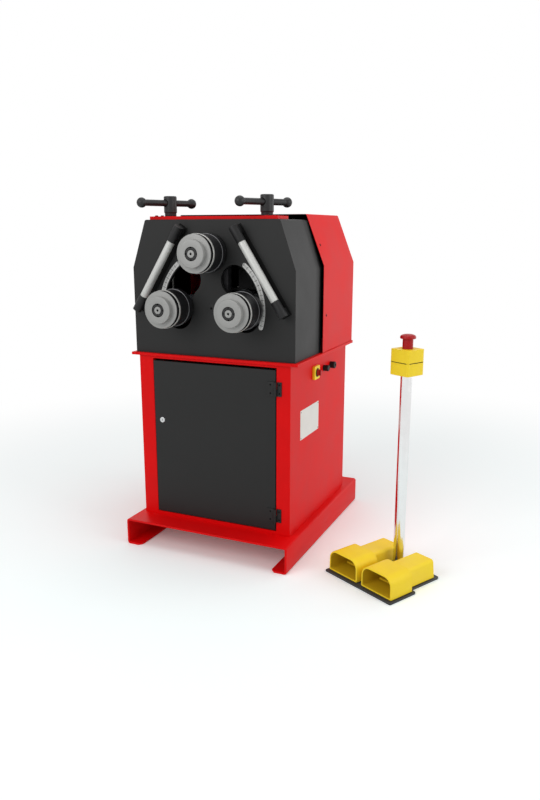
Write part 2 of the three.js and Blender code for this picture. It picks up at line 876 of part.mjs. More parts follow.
// Swing arm: two cheeks on the pivot tube, a bearing tube and a slotted lug for the nut
function swingArm(name, side, frontCheekY, rearCheekY) {
  const lugDistance = screwX / Math.cos(radians(nutAngle)) + gap;
  const lugX = lugDistance * Math.cos(radians(nutAngle));
  const lugZ = driveZ + lugDistance * Math.sin(radians(nutAngle));
  const front = [frontCheekY, frontCheekY + cheekSheet];
  const rear = [rearCheekY, rearCheekY + cheekSheet];
  const cheek = (ends) => join(
    cylinderY(cheekRingRadius, ...ends, 0, driveZ),
    web(0, driveZ, cheekWaist, armRadius, driveZ, cheekWaist, ...ends),
  );
  const lug = join(
    cylinderY(lugRadius, ...front, lugX, lugZ, coarseSteps),
    web(armRadius, driveZ, armTubeRadius - sheet, lugX, lugZ, lugRadius - sheet, ...front),
  );
  const slotEnd = (shift) => [
    (lugDistance + shift) * Math.cos(radians(nutAngle)),
    driveZ + (lugDistance + shift) * Math.sin(radians(nutAngle)),
  ];
  const slotHalf = nutPinRadius + nutPlay;
  const through = [frontCheekY - overrun, frontCheekY + cheekSheet + overrun];
  const slotEnds = [slotEnd(-nutSlotReach), slotEnd(nutSlotReach)];
  const slot = join(
    ...slotEnds.map(([x, z]) => cylinderY(slotHalf, ...through, x, z, coarseSteps)),
    web(...slotEnds[0], slotHalf, ...slotEnds[1], slotHalf, ...through),
  );
  const bore = [frontPlateFrontY - overrun, armTubeRearY + overrun];
  const body = cut(
    join(
      cheek(front),
      cheek(rear),
      lug,
      cylinderY(armTubeRadius, frontPlateFrontY, armTubeRearY, armRadius, driveZ),
    ),
    cylinderY(hole(pivotTubeRadius), ...bore, 0, driveZ),
    cylinderY(hole(shaftRadius), ...bore, armRadius, driveZ),
    slot,
  );
  return mesh(name, sided(body, side), 'castGrey');
}

// Nut on the screw, with the pin that rides in the arm's lug
function screwNut(name, side, cheekY) {
  const half = nutWidth / 2;
  const frontY = screwY - nutDepth / 2;
  const rearY = screwY + nutDepth / 2;
  const body = cut(
    join(
      block(screwX - half, screwX + half, frontY, rearY, nutZ - nutHeight / 2,
        nutZ + nutHeight / 2),
      cylinderY(nutPinRadius, rearY - overrun, cheekY + cheekSheet - gap, screwX, nutZ,
        coarseSteps),
    ),
    cylinderZ(hole(screwRadius), nutZ - nutHeight, nutZ + nutHeight, screwX, screwY),
  );
  return mesh(name, sided(body, side), 'steel');
}

// Adjusting screw: thread, retaining shoulder, journal, neck and bored head
function adjustScrew(name, side) {
  const neckZ = screwNeckZ;
  const headZ = neckZ + neckHeight;
  const topZ = headZ + headHeight;
  const shoulderZ = headTopZ - screwBossDrop;
  const turned = turnedZ([
    [0, screwBottomZ],
    [screwRadius, screwBottomZ],
    [screwRadius, shoulderZ - retainHeight],
    [retainRadius, shoulderZ - retainHeight],
    [retainRadius, shoulderZ],
    [journalRadius, shoulderZ],
    [journalRadius, neckZ],
    [neckRadius, neckZ],
    [neckRadius, headZ],
    [headRadius, headZ + headChamfer],
    [headRadius, topZ - headChamfer],
    [headRadius - headChamfer, topZ],
    [0, topZ],
  ]);
  const reach = headRadius + overrun;
  const cross = cylinderX(hole(barRadius, coarseSteps), -reach, reach, 0, barZ, coarseSteps);
  const turn = new THREE.Matrix4().makeRotationZ(radians(barTurn));
  const screw = mesh(name, cut(turned, moved(cross, turn)), 'blackSteel');
  screw.position.set(side * screwX, screwY, 0);
  return screw;
}

// Sliding bar with a ball at each end; it slides through the screw's head
function tommyBar(name, side) {
  const ends = [barSlip - barSpan / 2, barSlip + barSpan / 2];
  const ball = (x) => solid(new THREE.SphereGeometry(barBallRadius, coarseSteps, smallSteps)
    .rotateZ(Math.PI / 2).translate(x, 0, 0));
  const bar = mesh(name, join(
    cylinderX(barRadius, ...ends, 0, 0, smallSteps),
    ...ends.map(ball),
  ), 'blackSteel');
  bar.position.set(side * screwX, screwY, barZ);
  bar.rotation.z = radians(barTurn);
  return bar;
}

// Graduated plate beside each slot, bent along the same arc
function scalePlate(name, side) {
  const middle = (scaleInnerRadius + scaleOuterRadius) / 2;
  const half = (scaleOuterRadius - scaleInnerRadius) / 2;
  const shape = arcSlot(middle, half, scaleLowAngle, scaleHighAngle);
  const rearY = headFrontY - gap;
  const plate = prismY(shape, rearY - scaleSheet, rearY, arcSteps);
  return mesh(name, sided(plate, side), 'zinc');
}

// Slanting handle: aluminium tube between two sleeves that stand on the panel
function handle(place, side) {
  const group = new THREE.Group();
  group.position.set(side * handleX, headFrontY - handleStandoff, handleZ);
  group.rotation.y = radians(-side * handleLean);
  const tubeEnd = handleTubeShown / 2 + handleInsert;
  const inner = handleTubeRadius - handleTubeWall;
  group.add(mesh(`handle_tube_${place}`, turnedZ([
    [inner, -tubeEnd], [handleTubeRadius, -tubeEnd], [handleTubeRadius, tubeEnd],
    [inner, tubeEnd],
  ]), 'aluminium'));
  for (const [level, up] of [['upper', 1], ['lower', -1]]) {
    group.add(handleEnd(`handle_end_${place}_${level}`, up));
  }
  return group;
}

// Sleeve over the tube's end, with the foot that carries it
function handleEnd(name, up) {
  const start = handleTubeShown / 2;
  const end = handleLength / 2;
  const half = handleFootWidth / 2;
  const foot = end - handleFootLength;
  const body = cut(
    join(
      turnedZ([
        [0, start], [handleEndRadius - fineEdge, start], [handleEndRadius, start + softEdge],
        [handleEndRadius, end - softEdge], [handleEndRadius - softEdge, end], [0, end],
      ]),
      block(-half, half, 0, handleStandoff - gap, foot, end - softEdge),
    ),
    cylinderZ(hole(handleTubeRadius), start - overrun, start + handleInsert + gap, 0, 0),
  );
  const turned = moved(body, new THREE.Matrix4().makeScale(1, 1, up));
  return mesh(name, turned, 'black');
}

// Worm gearbox: wheel case around the drive shaft, upright worm case, flange and foot
function gearbox() {
  const depthMiddle = (gearboxFrontY + gearboxRearY) / 2;
  const footHalf = gearboxFootHalfWidth;
  return mesh('gearbox', cut(
    join(
      turnedY([
        [0, gearboxFrontY], [gearboxRadius - castEdge, gearboxFrontY],
        [gearboxRadius, gearboxFrontY + castEdge], [gearboxRadius, gearboxRearY - castEdge],
        [gearboxRadius - castEdge, gearboxRearY], [0, gearboxRearY],
      ], 0, driveZ),
      cylinderZ(wormRadius, motorTopZ + gap, wormTopZ, wormX, wormY),
      cylinderZ(wormFlangeRadius, motorTopZ + gap, motorTopZ + gap + wormFlangeHeight, wormX,
        wormY),
      block(-gearboxRadius, footHalf - gearboxRadius, depthMiddle - footHalf,
        depthMiddle + footHalf, tableTopZ + gap, driveZ),
    ),
    cylinderY(hole(driveShaftRadius), gearboxFrontY - overrun, gearboxRearY + overrun, 0,
      driveZ),
  ), 'castGrey');
}

// Motor: flange, finned body, fan cover at the bottom and terminal box at the side
function motor() {
  const tip = motorRadius + motorFinHeight;
  const fin = [
    [motorRadius, 0], [tip, finTopStartShare], [tip, finTopEndShare], [motorRadius, finFootShare],
  ];
  const fins = [];
  for (let i = 0; i < motorFins; i += 1) {
    for (const [radius, share] of fin) {
      const angle = (i + share) / motorFins * 2 * Math.PI;
      fins.push(new THREE.Vector2(wormX + radius * Math.cos(angle),
        wormY + radius * Math.sin(angle)));
    }
  }
  const fanTopZ = motorBottomZ + fanCoverHeight;
  const half = terminalWidth / 2;
  const middleZ = (motorTopZ + motorBottomZ) / 2;
  return mesh('motor', join(
    cylinderZ(wormFlangeRadius, motorTopZ - wormFlangeHeight, motorTopZ, wormX, wormY),
    prismZ(new THREE.Shape(fins), fanTopZ - overrun, motorTopZ - overrun),
    turnedZ([
      [0, motorBottomZ], [fanCoverRadius - castEdge, motorBottomZ],
      [fanCoverRadius, motorBottomZ + castEdge], [fanCoverRadius, fanTopZ], [0, fanTopZ],
    ], wormX, wormY),
    block(wormX - half, wormX + half, wormY - motorRadius - terminalReach,
      wormY - motorRadius + castEdge, middleZ - half, middleZ + half),
  ), 'castGrey');
}

// Control box: deep tray with a lid line around its front
function controlBox() {
  const wallX = -cabinetWidth / 2 + sheet + gap;
  const lidX = wallX + controlDepth - controlLid;
  const inset = controlGroove;
  return mesh('control_box', join(
    block(wallX, lidX - inset, controlFrontY, controlRearY, controlBottomZ, controlTopZ),
    block(lidX - inset - overrun, lidX + overrun, controlFrontY + inset, controlRearY - inset,
      controlBottomZ + inset, controlTopZ - inset),
    block(lidX, lidX + controlLid, controlFrontY, controlRearY, controlBottomZ, controlTopZ),
  ), 'zinc');
}

// Switch body: square front with a round back that passes through the wall
function switchBody() {
  const wallX = cabinetWidth / 2;
  const frontX = wallX + gap + switchDepth;
  const half = [switchWidth / 2, switchHeight / 2];
  const face = outline([
    [-half[0], -half[1], switchCorner], [half[0], -half[1], switchCorner],
    [half[0], half[1], switchCorner], [-half[0], half[1], switchCorner],
  ]);
  const settings = { depth: switchDepth, bevelEnabled: false, curveSegments: cornerSteps };
  const plate = new THREE.ExtrudeGeometry(face, settings);
  plate.rotateX(Math.PI / 2).rotateZ(Math.PI / 2).translate(wallX + gap, switchY, switchZ);
  return mesh('switch_body', cut(
    join(
      solid(plate),
      cylinderX(switchBackRadius, wallX - switchBackDepth, wallX + gap + overrun, switchY,
        switchZ, coarseSteps),
    ),
    cylinderX(hole(knobShaftRadius, coarseSteps), frontX - knobShaftDepth - gap,
      frontX + overrun, switchY, switchZ, coarseSteps),
  ), 'yellow');
}

// Switch knob: shaft, round base and a raised grip across it
function switchKnob() {
  const baseX = switchDepth + 2 * gap;
  const topX = baseX + knobHeight;
  const knob = mesh('switch_knob', join(
    cylinderX(knobShaftRadius, baseX - knobShaftDepth, baseX + overrun, 0, 0, smallSteps),
    turnedX([
      [0, baseX], [knobRadius, baseX], [knobRadius, topX - fineEdge],
      [knobRadius - fineEdge, topX], [0, topX],
    ], 0, 0, fineSteps),
    block(topX - overrun, topX + knobGripHeight, -knobGripWidth / 2, knobGripWidth / 2,
      softEdge - knobRadius, knobRadius - softEdge),
  ), 'knobRed');
  knob.position.set(cabinetWidth / 2, switchY, switchZ);
  return knob;
}

// Cable gland: stub through the wall, six-sided body and round clamping cap
function cableGland() {
  const wallX = cabinetWidth / 2 + gap;
  const bodyEnd = entryLength * entryBodyShare;
  const gland = mesh('cable_gland', join(
    cylinderX(entryStubRadius, -entryStubDepth, overrun, 0, 0, smallSteps),
    cylinderX(entryRadius, 0, bodyEnd, 0, 0, glandSides),
    turnedX([
      [0, bodyEnd - overrun], [entryRadius - softEdge, bodyEnd - overrun],
      [entryRadius - softEdge, entryLength - softEdge], [entryStubRadius, entryLength],
      [0, entryLength],
    ], 0, 0, smallSteps),
  ), 'black');
  gland.position.set(wallX, glandY, entryZ);
  return gland;
}

// Pedal socket: flanged tube with an open, stepped mouth
function cableSocket() {
  const wallX = cabinetWidth / 2 + gap;
  const floorX = entryLength * entryBodyShare;
  const mouthRadius = entryStubRadius - softEdge;
  const socket = mesh('cable_socket', turnedX([
    [0, -entryStubDepth],
    [entryStubRadius, -entryStubDepth],
    [entryStubRadius, 0],
    [entryRadius, 0],
    [entryRadius, entryLength - softEdge],
    [entryRadius - softEdge, entryLength],
    [mouthRadius, entryLength],
    [mouthRadius, floorX],
    [0, floorX],
  ], 0, 0, fineSteps), 'black');
  socket.position.set(wallX, socketY, entryZ);
  return socket;
}

// Frame half of a hinge: leaf on the upright, lower barrel and pin
function frameHinge(level) {
  const bottom = hingeBottoms[level];
  const top = bottom + hingeHeight;
  const middle = bottom + hingeHeight / 2;
  const leafY = cabinetFrontY - gap;
  return mesh(`hinge_frame_${level}`, join(
    block(hingeAxisX + hingePinRadius, hingeFrameEndX, leafY - hingeLeaf, leafY, bottom, top),
    block(hingeAxisX, hingeAxisX + hingeBarrelRadius, hingeAxisY, leafY, bottom, middle),
    cylinderZ(hingeBarrelRadius, bottom, middle, hingeAxisX, hingeAxisY, coarseSteps),
    cylinderZ(hingePinRadius, middle - overrun, top, hingeAxisX, hingeAxisY, smallSteps),
  ).subtract(
    block(hingeAxisX, hingeAxisX + hingeBarrelRadius + gap, leafY - hingeLeaf - overrun,
      leafY + overrun, middle, top + overrun),
  ), 'black');
}

// Door half of a hinge: leaf on the door and the upper barrel
function doorHinge(level) {
  const bottom = hingeBottoms[level];
  const top = bottom + hingeHeight;
  const middle = bottom + hingeHeight / 2 + gap;
  const leafY = cabinetFrontY - doorProud - gap;
  const leafEndX = hingeAxisX - hingeBarrelRadius - gap;
  return mesh(`hinge_door_${level}`, cut(
    join(
      block(hingeDoorEndX, leafEndX, leafY - hingeLeaf, leafY, bottom, top),
      block(leafEndX - overrun, hingeAxisX, hingeAxisY, leafY, middle, top),
      cylinderZ(hingeBarrelRadius, middle, top, hingeAxisX, hingeAxisY, coarseSteps),
    ),
    cylinderZ(hole(hingePinRadius, smallSteps), middle - overrun, top + overrun, hingeAxisX,
      hingeAxisY, smallSteps),
  ), 'black');
}

// Door: sheet with flanges folded back all round, and the lock's hole
function doorPanel() {
  const left = openingLeftX + doorReveal;
  const right = openingRightX - doorReveal;
  const faceY = cabinetFrontY - doorProud;
  const backY = faceY + doorFlange;
  const fold = doorSheet;
  return mesh('door_panel', cut(
    block(left, right, faceY, backY, doorBottomZ, doorTopZ),
    block(left + fold, right - fold, faceY + fold, backY + overrun, doorBottomZ + fold,
      doorTopZ - fold),
    cylinderY(hole(lockRadius, coarseSteps), faceY - overrun, backY, lockX, lockZ, coarseSteps),
  ), 'darkGrey');
}

// Lock: head, barrel and the cam, which hangs down when the door is unlocked
function doorLock() {
  const faceY = cabinetFrontY - doorProud;
  const camY = cabinetFrontY + sheet + openingReturn + gap;
  const lock = mesh('door_lock', join(
    cylinderY(lockRadius + lockRim, faceY - gap - lockHeadHeight, faceY - gap, 0, 0,
      fineSteps),
    cylinderY(lockRadius, faceY - gap - overrun, camY + overrun, 0, 0, coarseSteps),
    block(-camWidth / 2, camWidth / 2, camY, camY + camSheet, -camLength, lockRadius),
  ), 'zinc');
  lock.position.set(lockX, 0, lockZ);
  return lock;
}

// Station plate: stepped outline with a socket for the column
function pedalPlate() {
  const right = [
    [stationRearHalf, stationRearY, stationCorner],
    [stationRearHalf, stationStepY, stationCorner / 2],
    [stationFrontHalf, stationStepY, stationCorner],
    [stationFrontHalf, stationFrontY, stationCorner / 2],
  ];
  const left = right.map(([x, y, radius]) => [-x, y, radius]).reverse();
  const socketTop = stationPlate + columnSocketHeight;
  return mesh('station_plate', cut(
    join(
      prismZ(outline(right.concat(left)), 0, stationPlate, bendSteps),
      cylinderZ(columnSocketRadius, stationPlate - overrun, socketTop, 0, 0),
    ),
    cylinderZ(hole(columnRadius), stationPlate, socketTop + overrun, 0, 0),
  ), 'black');
}

// Upright box outline with well-rounded upper corners and small lower ones
function hoodOutline(x0, x1, z0, z1, upper, lower) {
  return outline([[x0, z0, lower], [x1, z0, lower], [x1, z1, upper], [x0, z1, upper]]);
}

// Pedal hood: wide open front and a narrower housing behind, one moulding with one wall
function pedalHood(name, side) {
  const bottom = stationPlate + gap;
  const x1 = hoodInnerX + hoodWidth;
  const middle = hoodInnerX + hoodWidth / 2;
  const housing = [middle - housingWidth / 2, middle + housingWidth / 2];
  const wall = hoodWall;
  const pinEnd = treadPinReach + gap;
  const body = cut(
    join(
      prismY(hoodOutline(hoodInnerX, x1, bottom, hoodTopZ, hoodRound, hoodFoot), hoodFrontY,
        hoodRearY, hoodSteps),
      prismY(hoodOutline(...housing, bottom, housingTopZ, housingRound, hoodFoot),
        hoodRearY - overrun, housingRearY, hoodSteps),
    ),
    prismY(hoodOutline(hoodInnerX + wall, x1 - wall, bottom + wall, hoodTopZ - wall,
      hoodRound - wall, hoodFoot / 2), hoodFrontY - overrun, hoodRearY - wall, hoodSteps),
    prismY(hoodOutline(housing[0] + wall, housing[1] - wall, bottom + wall,
      housingTopZ - wall, housingRound - wall, hoodFoot / 2), hoodRearY - wall - overrun,
      housingRearY - wall, hoodSteps),
    cylinderX(hole(treadPinRadius, smallSteps), middle - pinEnd, middle + pinEnd, treadPivotY,
      treadPivotZ, smallSteps),
  );
  return mesh(name, sided(body, side), 'yellow');
}

// Pedal: barrel on its pivot pin, lever and the wide tread, all raised by the rest angle
function pedalTread(name, side) {
  const half = treadSheet / 2;
  const length = (y) => y - treadPivotY;
  const tread = mesh(name, join(
    cylinderX(treadPivotRadius, -treadPivotLength / 2, treadPivotLength / 2, 0, 0, coarseSteps),
    cylinderX(treadPinRadius, -treadPinReach, treadPinReach, 0, 0, smallSteps),
    block(-treadLeverWidth / 2, treadLeverWidth / 2, length(treadRearY) - overrun, 0, -half,
      half),
    block(-treadWidth / 2, treadWidth / 2, length(treadFrontY), length(treadRearY), -half,
      half),
  ), 'yellow');
  tread.position.set(side * (hoodInnerX + hoodWidth / 2), treadPivotY, treadPivotZ);
  tread.rotation.x = radians(-treadRise);
  return tread;
}

// Column: bright tube from the plate up into the lower half of the stop box
function stationColumn() {
  const inner = columnRadius - columnWall;
  const bottom = stationPlate + gap;
  const top = stopBoxBottomZ + stopBoxWall + columnWall;
  return mesh('station_column', turnedZ([
    [inner, bottom], [columnRadius, bottom], [columnRadius, top], [inner, top],
  ]), 'chrome');
}

// Half of the stop box: rounded tray from z0 to z1 whose closed side is at floorZ
function stopBoxHalf(name, z0, z1, floorUp, holeRadius) {
  const half = stopBoxWidth / 2;
  const inner = half - stopBoxWall;
  const square = (reach, radius) => outline([
    [-reach, -reach, radius], [reach, -reach, radius], [reach, reach, radius],
    [-reach, reach, radius],
  ]);
  const hollow = floorUp ? [z0 - overrun, z1 - stopBoxWall] : [z0 + stopBoxWall, z1 + overrun];
  return mesh(name, cut(
    prismZ(square(half, stopBoxRound), z0, z1),
    prismZ(square(inner, stopBoxRound - stopBoxWall), ...hollow),
    cylinderZ(hole(holeRadius), z0 - overrun, z1 + overrun, 0, 0),
  ), 'yellow');
}

// Mushroom push button: stem through the box's top and a domed cap
function stopButton() {
  const domeRadius = stopCapRadius * capDomeShare;
  const capHeight = stopCapTopZ - stopCapBottomZ;
  const rimZ = stopCapBottomZ + capHeight * capRimShare;
  const domeZ = stopCapBottomZ + capHeight * capShoulderShare;
  return mesh('stop_button', turnedZ([
    [0, stopBoxTopZ - stopStemDepth],
    [stopStemRadius, stopBoxTopZ - stopStemDepth],
    [stopStemRadius, stopCapBottomZ],
    [stopCapRadius - softEdge, stopCapBottomZ],
    [stopCapRadius, rimZ],
    [domeRadius, domeZ],
    [domeRadius / 2, stopCapTopZ],
    [0, stopCapTopZ],
  ]), 'knobRed');
}

// Gland at the back of the right pedal housing, where the station's cable enters
function stationGland() {
  const gland = mesh('station_gland', turnedY([
    [0, gap],
    [stationGlandRadius, gap],
    [stationGlandRadius, stationGlandLength * glandNeckShare],
    [stationGlandRadius * glandNeckShare, stationGlandLength],
    [0, stationGlandLength],
  ], 0, 0, coarseSteps), 'black');
  gland.position.set(hoodInnerX + hoodWidth / 2, housingRearY, housingTopZ / 2);
  return gland;
}

// Station: everything that stands beside the machine, turned as one group
function pedalStation() {
  const group = new THREE.Group();
  group.position.set(stationX, stationY, 0);
  group.rotation.z = radians(stationTurn);
  group.add(pedalPlate());
  for (const [place, side] of [['left', -1], ['right', 1]]) {
    group.add(pedalHood(`pedal_hood_${place}`, side));
    group.add(pedalTread(`pedal_tread_${place}`, side));
  }
  group.add(stationColumn());
  group.add(stopBoxHalf('stop_box_lower', stopBoxBottomZ, stopBoxSplitZ - gap / 2, false,
    columnRadius));
  group.add(stopBoxHalf('stop_box_upper', stopBoxSplitZ + gap / 2, stopBoxTopZ, true,
    stopStemRadius));
  group.add(stopButton());
  group.add(stationGland());
  return group;
}

// The whole object, then moved so that its box stands on the origin
const bender = new THREE.Group();
bender.add(baseFrame(), cabinetShell(), tablePlate(), headBox(), rearCover(), innerFrame());
bender.add(doorPanel(), doorLock());
for (const level of ['upper', 'lower']) {
  bender.add(frameHinge(level), doorHinge(level));
}
bender.add(roll('upper', 0, upperZ, upperShaft()));
bender.add(roll('left', -armRadius, driveZ, lowerShaft('shaft_left', leftChainY)));
bender.add(roll('right', armRadius, driveZ, lowerShaft('shaft_right', rightChainY)));
const driveLine = driveShaft();
driveLine.position.z = driveZ;
bender.add(driveLine, gearbox(), motor(), controlBox());
bender.add(chain('chain_left', -1, leftChainY), chain('chain_right', 1, rightChainY));
bender.add(swingArm('arm_left', -1, leftFrontCheekY, leftRearCheekY));
bender.add(swingArm('arm_right', 1, rightFrontCheekY, rightRearCheekY));
bender.add(screwNut('screw_nut_left', -1, leftFrontCheekY));
bender.add(screwNut('screw_nut_right', 1, rightFrontCheekY));
for (const [place, side] of [['left', -1], ['right', 1]]) {
  bender.add(adjustScrew(`adjust_screw_${place}`, side), tommyBar(`tommy_bar_${place}`, side));
  bender.add(scalePlate(`scale_${place}`, side), handle(place, side));
}
bender.add(switchBody(), switchKnob(), cableGland(), cableSocket(), pedalStation());
const bounds = new THREE.Box3().setFromObject(bender, true);
bender.position.set(
  -(bounds.min.x + bounds.max.x) / 2,
  -(bounds.min.y + bounds.max.y) / 2,
  -bounds.min.z,
);

export default bender;
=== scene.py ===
import json
import math

import bmesh
import bpy
import numpy as np
from mathutils import Matrix, Vector


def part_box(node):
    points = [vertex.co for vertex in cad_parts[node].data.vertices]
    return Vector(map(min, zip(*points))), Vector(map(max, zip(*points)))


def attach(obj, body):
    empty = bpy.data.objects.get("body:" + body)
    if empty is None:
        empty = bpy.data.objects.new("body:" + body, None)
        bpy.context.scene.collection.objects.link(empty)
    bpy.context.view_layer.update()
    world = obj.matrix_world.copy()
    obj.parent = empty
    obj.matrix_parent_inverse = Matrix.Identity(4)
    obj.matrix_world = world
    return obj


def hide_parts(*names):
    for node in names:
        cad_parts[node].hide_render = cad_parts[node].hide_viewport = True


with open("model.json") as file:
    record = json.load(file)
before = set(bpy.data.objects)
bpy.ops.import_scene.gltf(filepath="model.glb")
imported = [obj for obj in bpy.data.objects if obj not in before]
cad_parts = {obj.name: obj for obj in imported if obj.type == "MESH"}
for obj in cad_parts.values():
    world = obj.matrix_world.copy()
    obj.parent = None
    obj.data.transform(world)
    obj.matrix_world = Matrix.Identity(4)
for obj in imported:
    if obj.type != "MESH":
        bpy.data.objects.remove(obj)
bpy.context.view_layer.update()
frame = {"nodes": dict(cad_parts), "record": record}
mm = 0.001
bodyOf = {node: body for body, nodes in frame["record"]["behaviour"]["bodies"].items()
    for node in nodes}
sides = ("left", "right")
bpy.context.scene.view_settings.view_transform = "Standard"
print("frame loaded with", len(frame["nodes"]), "nodes")


# A dictionary of sizes in mm, with its values in metres
def inMetres(sizes):
    return {name: size * mm for name, size in sizes.items()}


# Middle of a CAD node, with one coordinate set to nought where only an axis is wanted
def middle(node, without=None):
    low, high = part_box(node)
    centre = (low + high) / 2
    if without:
        setattr(centre, without, 0)
    return centre


# Camera and room


# In front of the machine, to its right and a little above the rolls
def addCamera():
    view = {"place": (1.06641, -2.74075, 1.2819), "turn": 23.983, "tilt": 13.258, "lens": 32.6,
        "sensor": 36}
    camera = bpy.data.cameras.new("view")
    camera.lens = view["lens"]
    camera.sensor_width = view["sensor"]
    holder = bpy.data.objects.new("view", camera)
    holder.location = view["place"]
    holder.rotation_euler = (math.radians(90 - view["tilt"]), 0, math.radians(view["turn"]))
    bpy.context.collection.objects.link(holder)
    bpy.context.scene.camera = holder


# A paint code such as "d01820" as the linear values that a shader works in
def linear(code):
    parts = np.array([int(code[i:i + 2], 16) / 255 for i in (0, 2, 4)])
    curved = ((parts + 0.055) / 1.055) ** 2.4
    return (*np.where(parts <= 0.04045, parts / 12.92, curved), 1.0)


# Adds one shader node. It takes plain values, sockets, or nodes by their first output
def add(tree, kind, takes=None, **settings):
    node = tree.nodes.new("ShaderNode" + kind)
    for name, value in settings.items():
        setattr(node, name, value)
    for name, value in (takes or {}).items():
        if isinstance(value, bpy.types.Node):
            value = value.outputs[0]
        if isinstance(value, bpy.types.NodeSocket):
            tree.links.new(value, node.inputs[name])
        else:
            node.inputs[name].default_value = value
    return node


# Works out a formula in nodes, one row a step: its name, its operation and its terms
def workOut(tree, rows, **known):
    for name, operation, *terms in rows:
        takes = {i: known.get(term, term) for i, term in enumerate(terms)}
        known[name] = add(tree, "Math", takes, operation=operation)
    return known[name]


# One for rays that see the background itself, straight or by way of a mirror or a lens
def seenRay(tree):
    path = add(tree, "LightPath").outputs
    rows = [("straight or mirror", "MAXIMUM", "straight", "mirror"),
        ("any", "MAXIMUM", "straight or mirror", "lens")]
    return workOut(tree, rows, straight=path["Is Camera Ray"], mirror=path["Is Glossy Ray"],
        lens=path["Is Transmission Ray"])


# Light comes evenly from all round; the floor glows to white away from the machine
def addRoom():
    room = {"ambient": 0.45, "half": 30.0, "floor": (0.86, 0.9, 0.9, 1),
        "seenFloor": (1.13, 1.21, 1.21, 1), "glow": 0.06, "clearFrom": 0.9, "clearTo": 3.2}
    white = (1, 1, 1, 1)
    world = bpy.data.worlds.new("studio")
    bpy.context.scene.world = world
    material = bpy.data.materials.new("pale floor that keeps the shadow")
    for owner in (world, material):
        owner.use_nodes = True
        owner.node_tree.nodes.clear()
    tree = world.node_tree
    soft = add(tree, "Background", {"Color": white, "Strength": room["ambient"]})
    backdrop = add(tree, "Background", {"Color": white, "Strength": 1.0})
    mix = add(tree, "MixShader", {0: seenRay(tree), 1: soft, 2: backdrop})
    add(tree, "OutputWorld", {"Surface": mix})

    tree = material.node_tree
    seen = seenRay(tree)
    # Seen directly, the floor leans a little against the red that the stand throws on it
    pale = add(tree, "MixRGB", {0: seen, 1: room["floor"], 2: room["seenFloor"]})
    matt = add(tree, "BsdfDiffuse", {"Color": pale})
    glow = add(tree, "Emission", {"Color": white, "Strength": 1.0})
    away = add(tree, "VectorMath", {0: add(tree, "TexCoord").outputs["Object"]},
        operation="LENGTH")
    clear = add(tree, "MapRange", {"Value": away.outputs["Value"], "From Min": room["clearFrom"],
        "From Max": room["clearTo"], "To Min": room["glow"]},
        interpolation_type="SMOOTHSTEP")
    share = add(tree, "Math", {0: seen, 1: clear}, operation="MULTIPLY")
    mix = add(tree, "MixShader", {0: share, 1: matt, 2: glow})
    add(tree, "OutputMaterial", {"Surface": mix})
    half = room["half"]
    mesh = bpy.data.meshes.new("floor")
    mesh.from_pydata([(-half, -half, 0), (half, -half, 0), (half, half, 0), (-half, half, 0)],
        [], [(0, 1, 2, 3)])
    mesh.materials.append(material)
    floor = bpy.data.objects.new("floor", mesh)
    bpy.context.collection.objects.link(floor)


# Soft boxes round the machine: each one's place, its side and its power
def addLamps():
    target = Vector((-0.2, 0.0, 0.8))
    boxes = {"front soft box": ((-1.6, -3.6, 2.6), 2.4, 54),
        "right soft box": ((4.2, -0.6, 2.2), 2.6, 46),
        "right rear soft box": ((3.4, 4.2, 1.5), 2.6, 30),
        "top soft box": ((0.2, -0.2, 4.6), 3.0, 42)}
    for name, (place, side, power) in boxes.items():
        lamp = bpy.data.lights.new(name, "AREA")
        lamp.shape = "RECTANGLE"
        lamp.size = lamp.size_y = side
        lamp.energy = power
        holder = bpy.data.objects.new(name, lamp)
        holder.location = place
        holder.rotation_euler = (target - Vector(place)).to_track_quat("-Z", "Y").to_euler()
        bpy.context.collection.objects.link(holder)


# Materials


# Starts a material: its tree, its shader and its coordinates
def startMaterial(name, values):
    material = bpy.data.materials.new(name)
    material.use_nodes = True
    tree = material.node_tree
    tree.nodes.clear()
    shader = add(tree, "BsdfPrincipled", values)
    add(tree, "OutputMaterial", {"Surface": shader})
    return material, tree, shader, add(tree, "TexCoord").outputs


# Lays a finish on a shader: one pattern drifts its shade, one its gloss, one is its relief.
# Noise mostly keeps between 0.3 and 0.7, so that range is stretched to the whole drift
def layFinish(tree, shader, colour, drift, tint, gloss=None, rough=None, bumps=None, depth=None):
    usual = {"From Min": 0.3, "From Max": 0.7}
    base = np.array(linear(colour))
    low, high = base * (1 - drift), np.minimum(base * (1 + drift), 1)
    low[3] = high[3] = 1
    share = add(tree, "MapRange", {"Value": tint, **usual})
    ends = {"Base Color": add(tree, "MixRGB", {0: share, 1: tuple(low), 2: tuple(high)})}
    if gloss:
        ends["Roughness"] = add(tree, "MapRange", {"Value": gloss, **usual, "To Min": rough[0],
            "To Max": rough[1]})
    if bumps:
        ends["Normal"] = add(tree, "Bump", {"Height": bumps, "Strength": 1.0, "Distance": depth})
    for name, node in ends.items():
        tree.links.new(node.outputs[0], shader.inputs[name])


# Puts another colour over the finish where the mask is one
def coverWith(tree, shader, mask, colour):
    under = shader.inputs["Base Color"].links[0].from_socket
    mix = add(tree, "MixRGB", {0: mask, 1: under, 2: linear(colour)})
    tree.links.new(mix.outputs[0], shader.inputs["Base Color"])


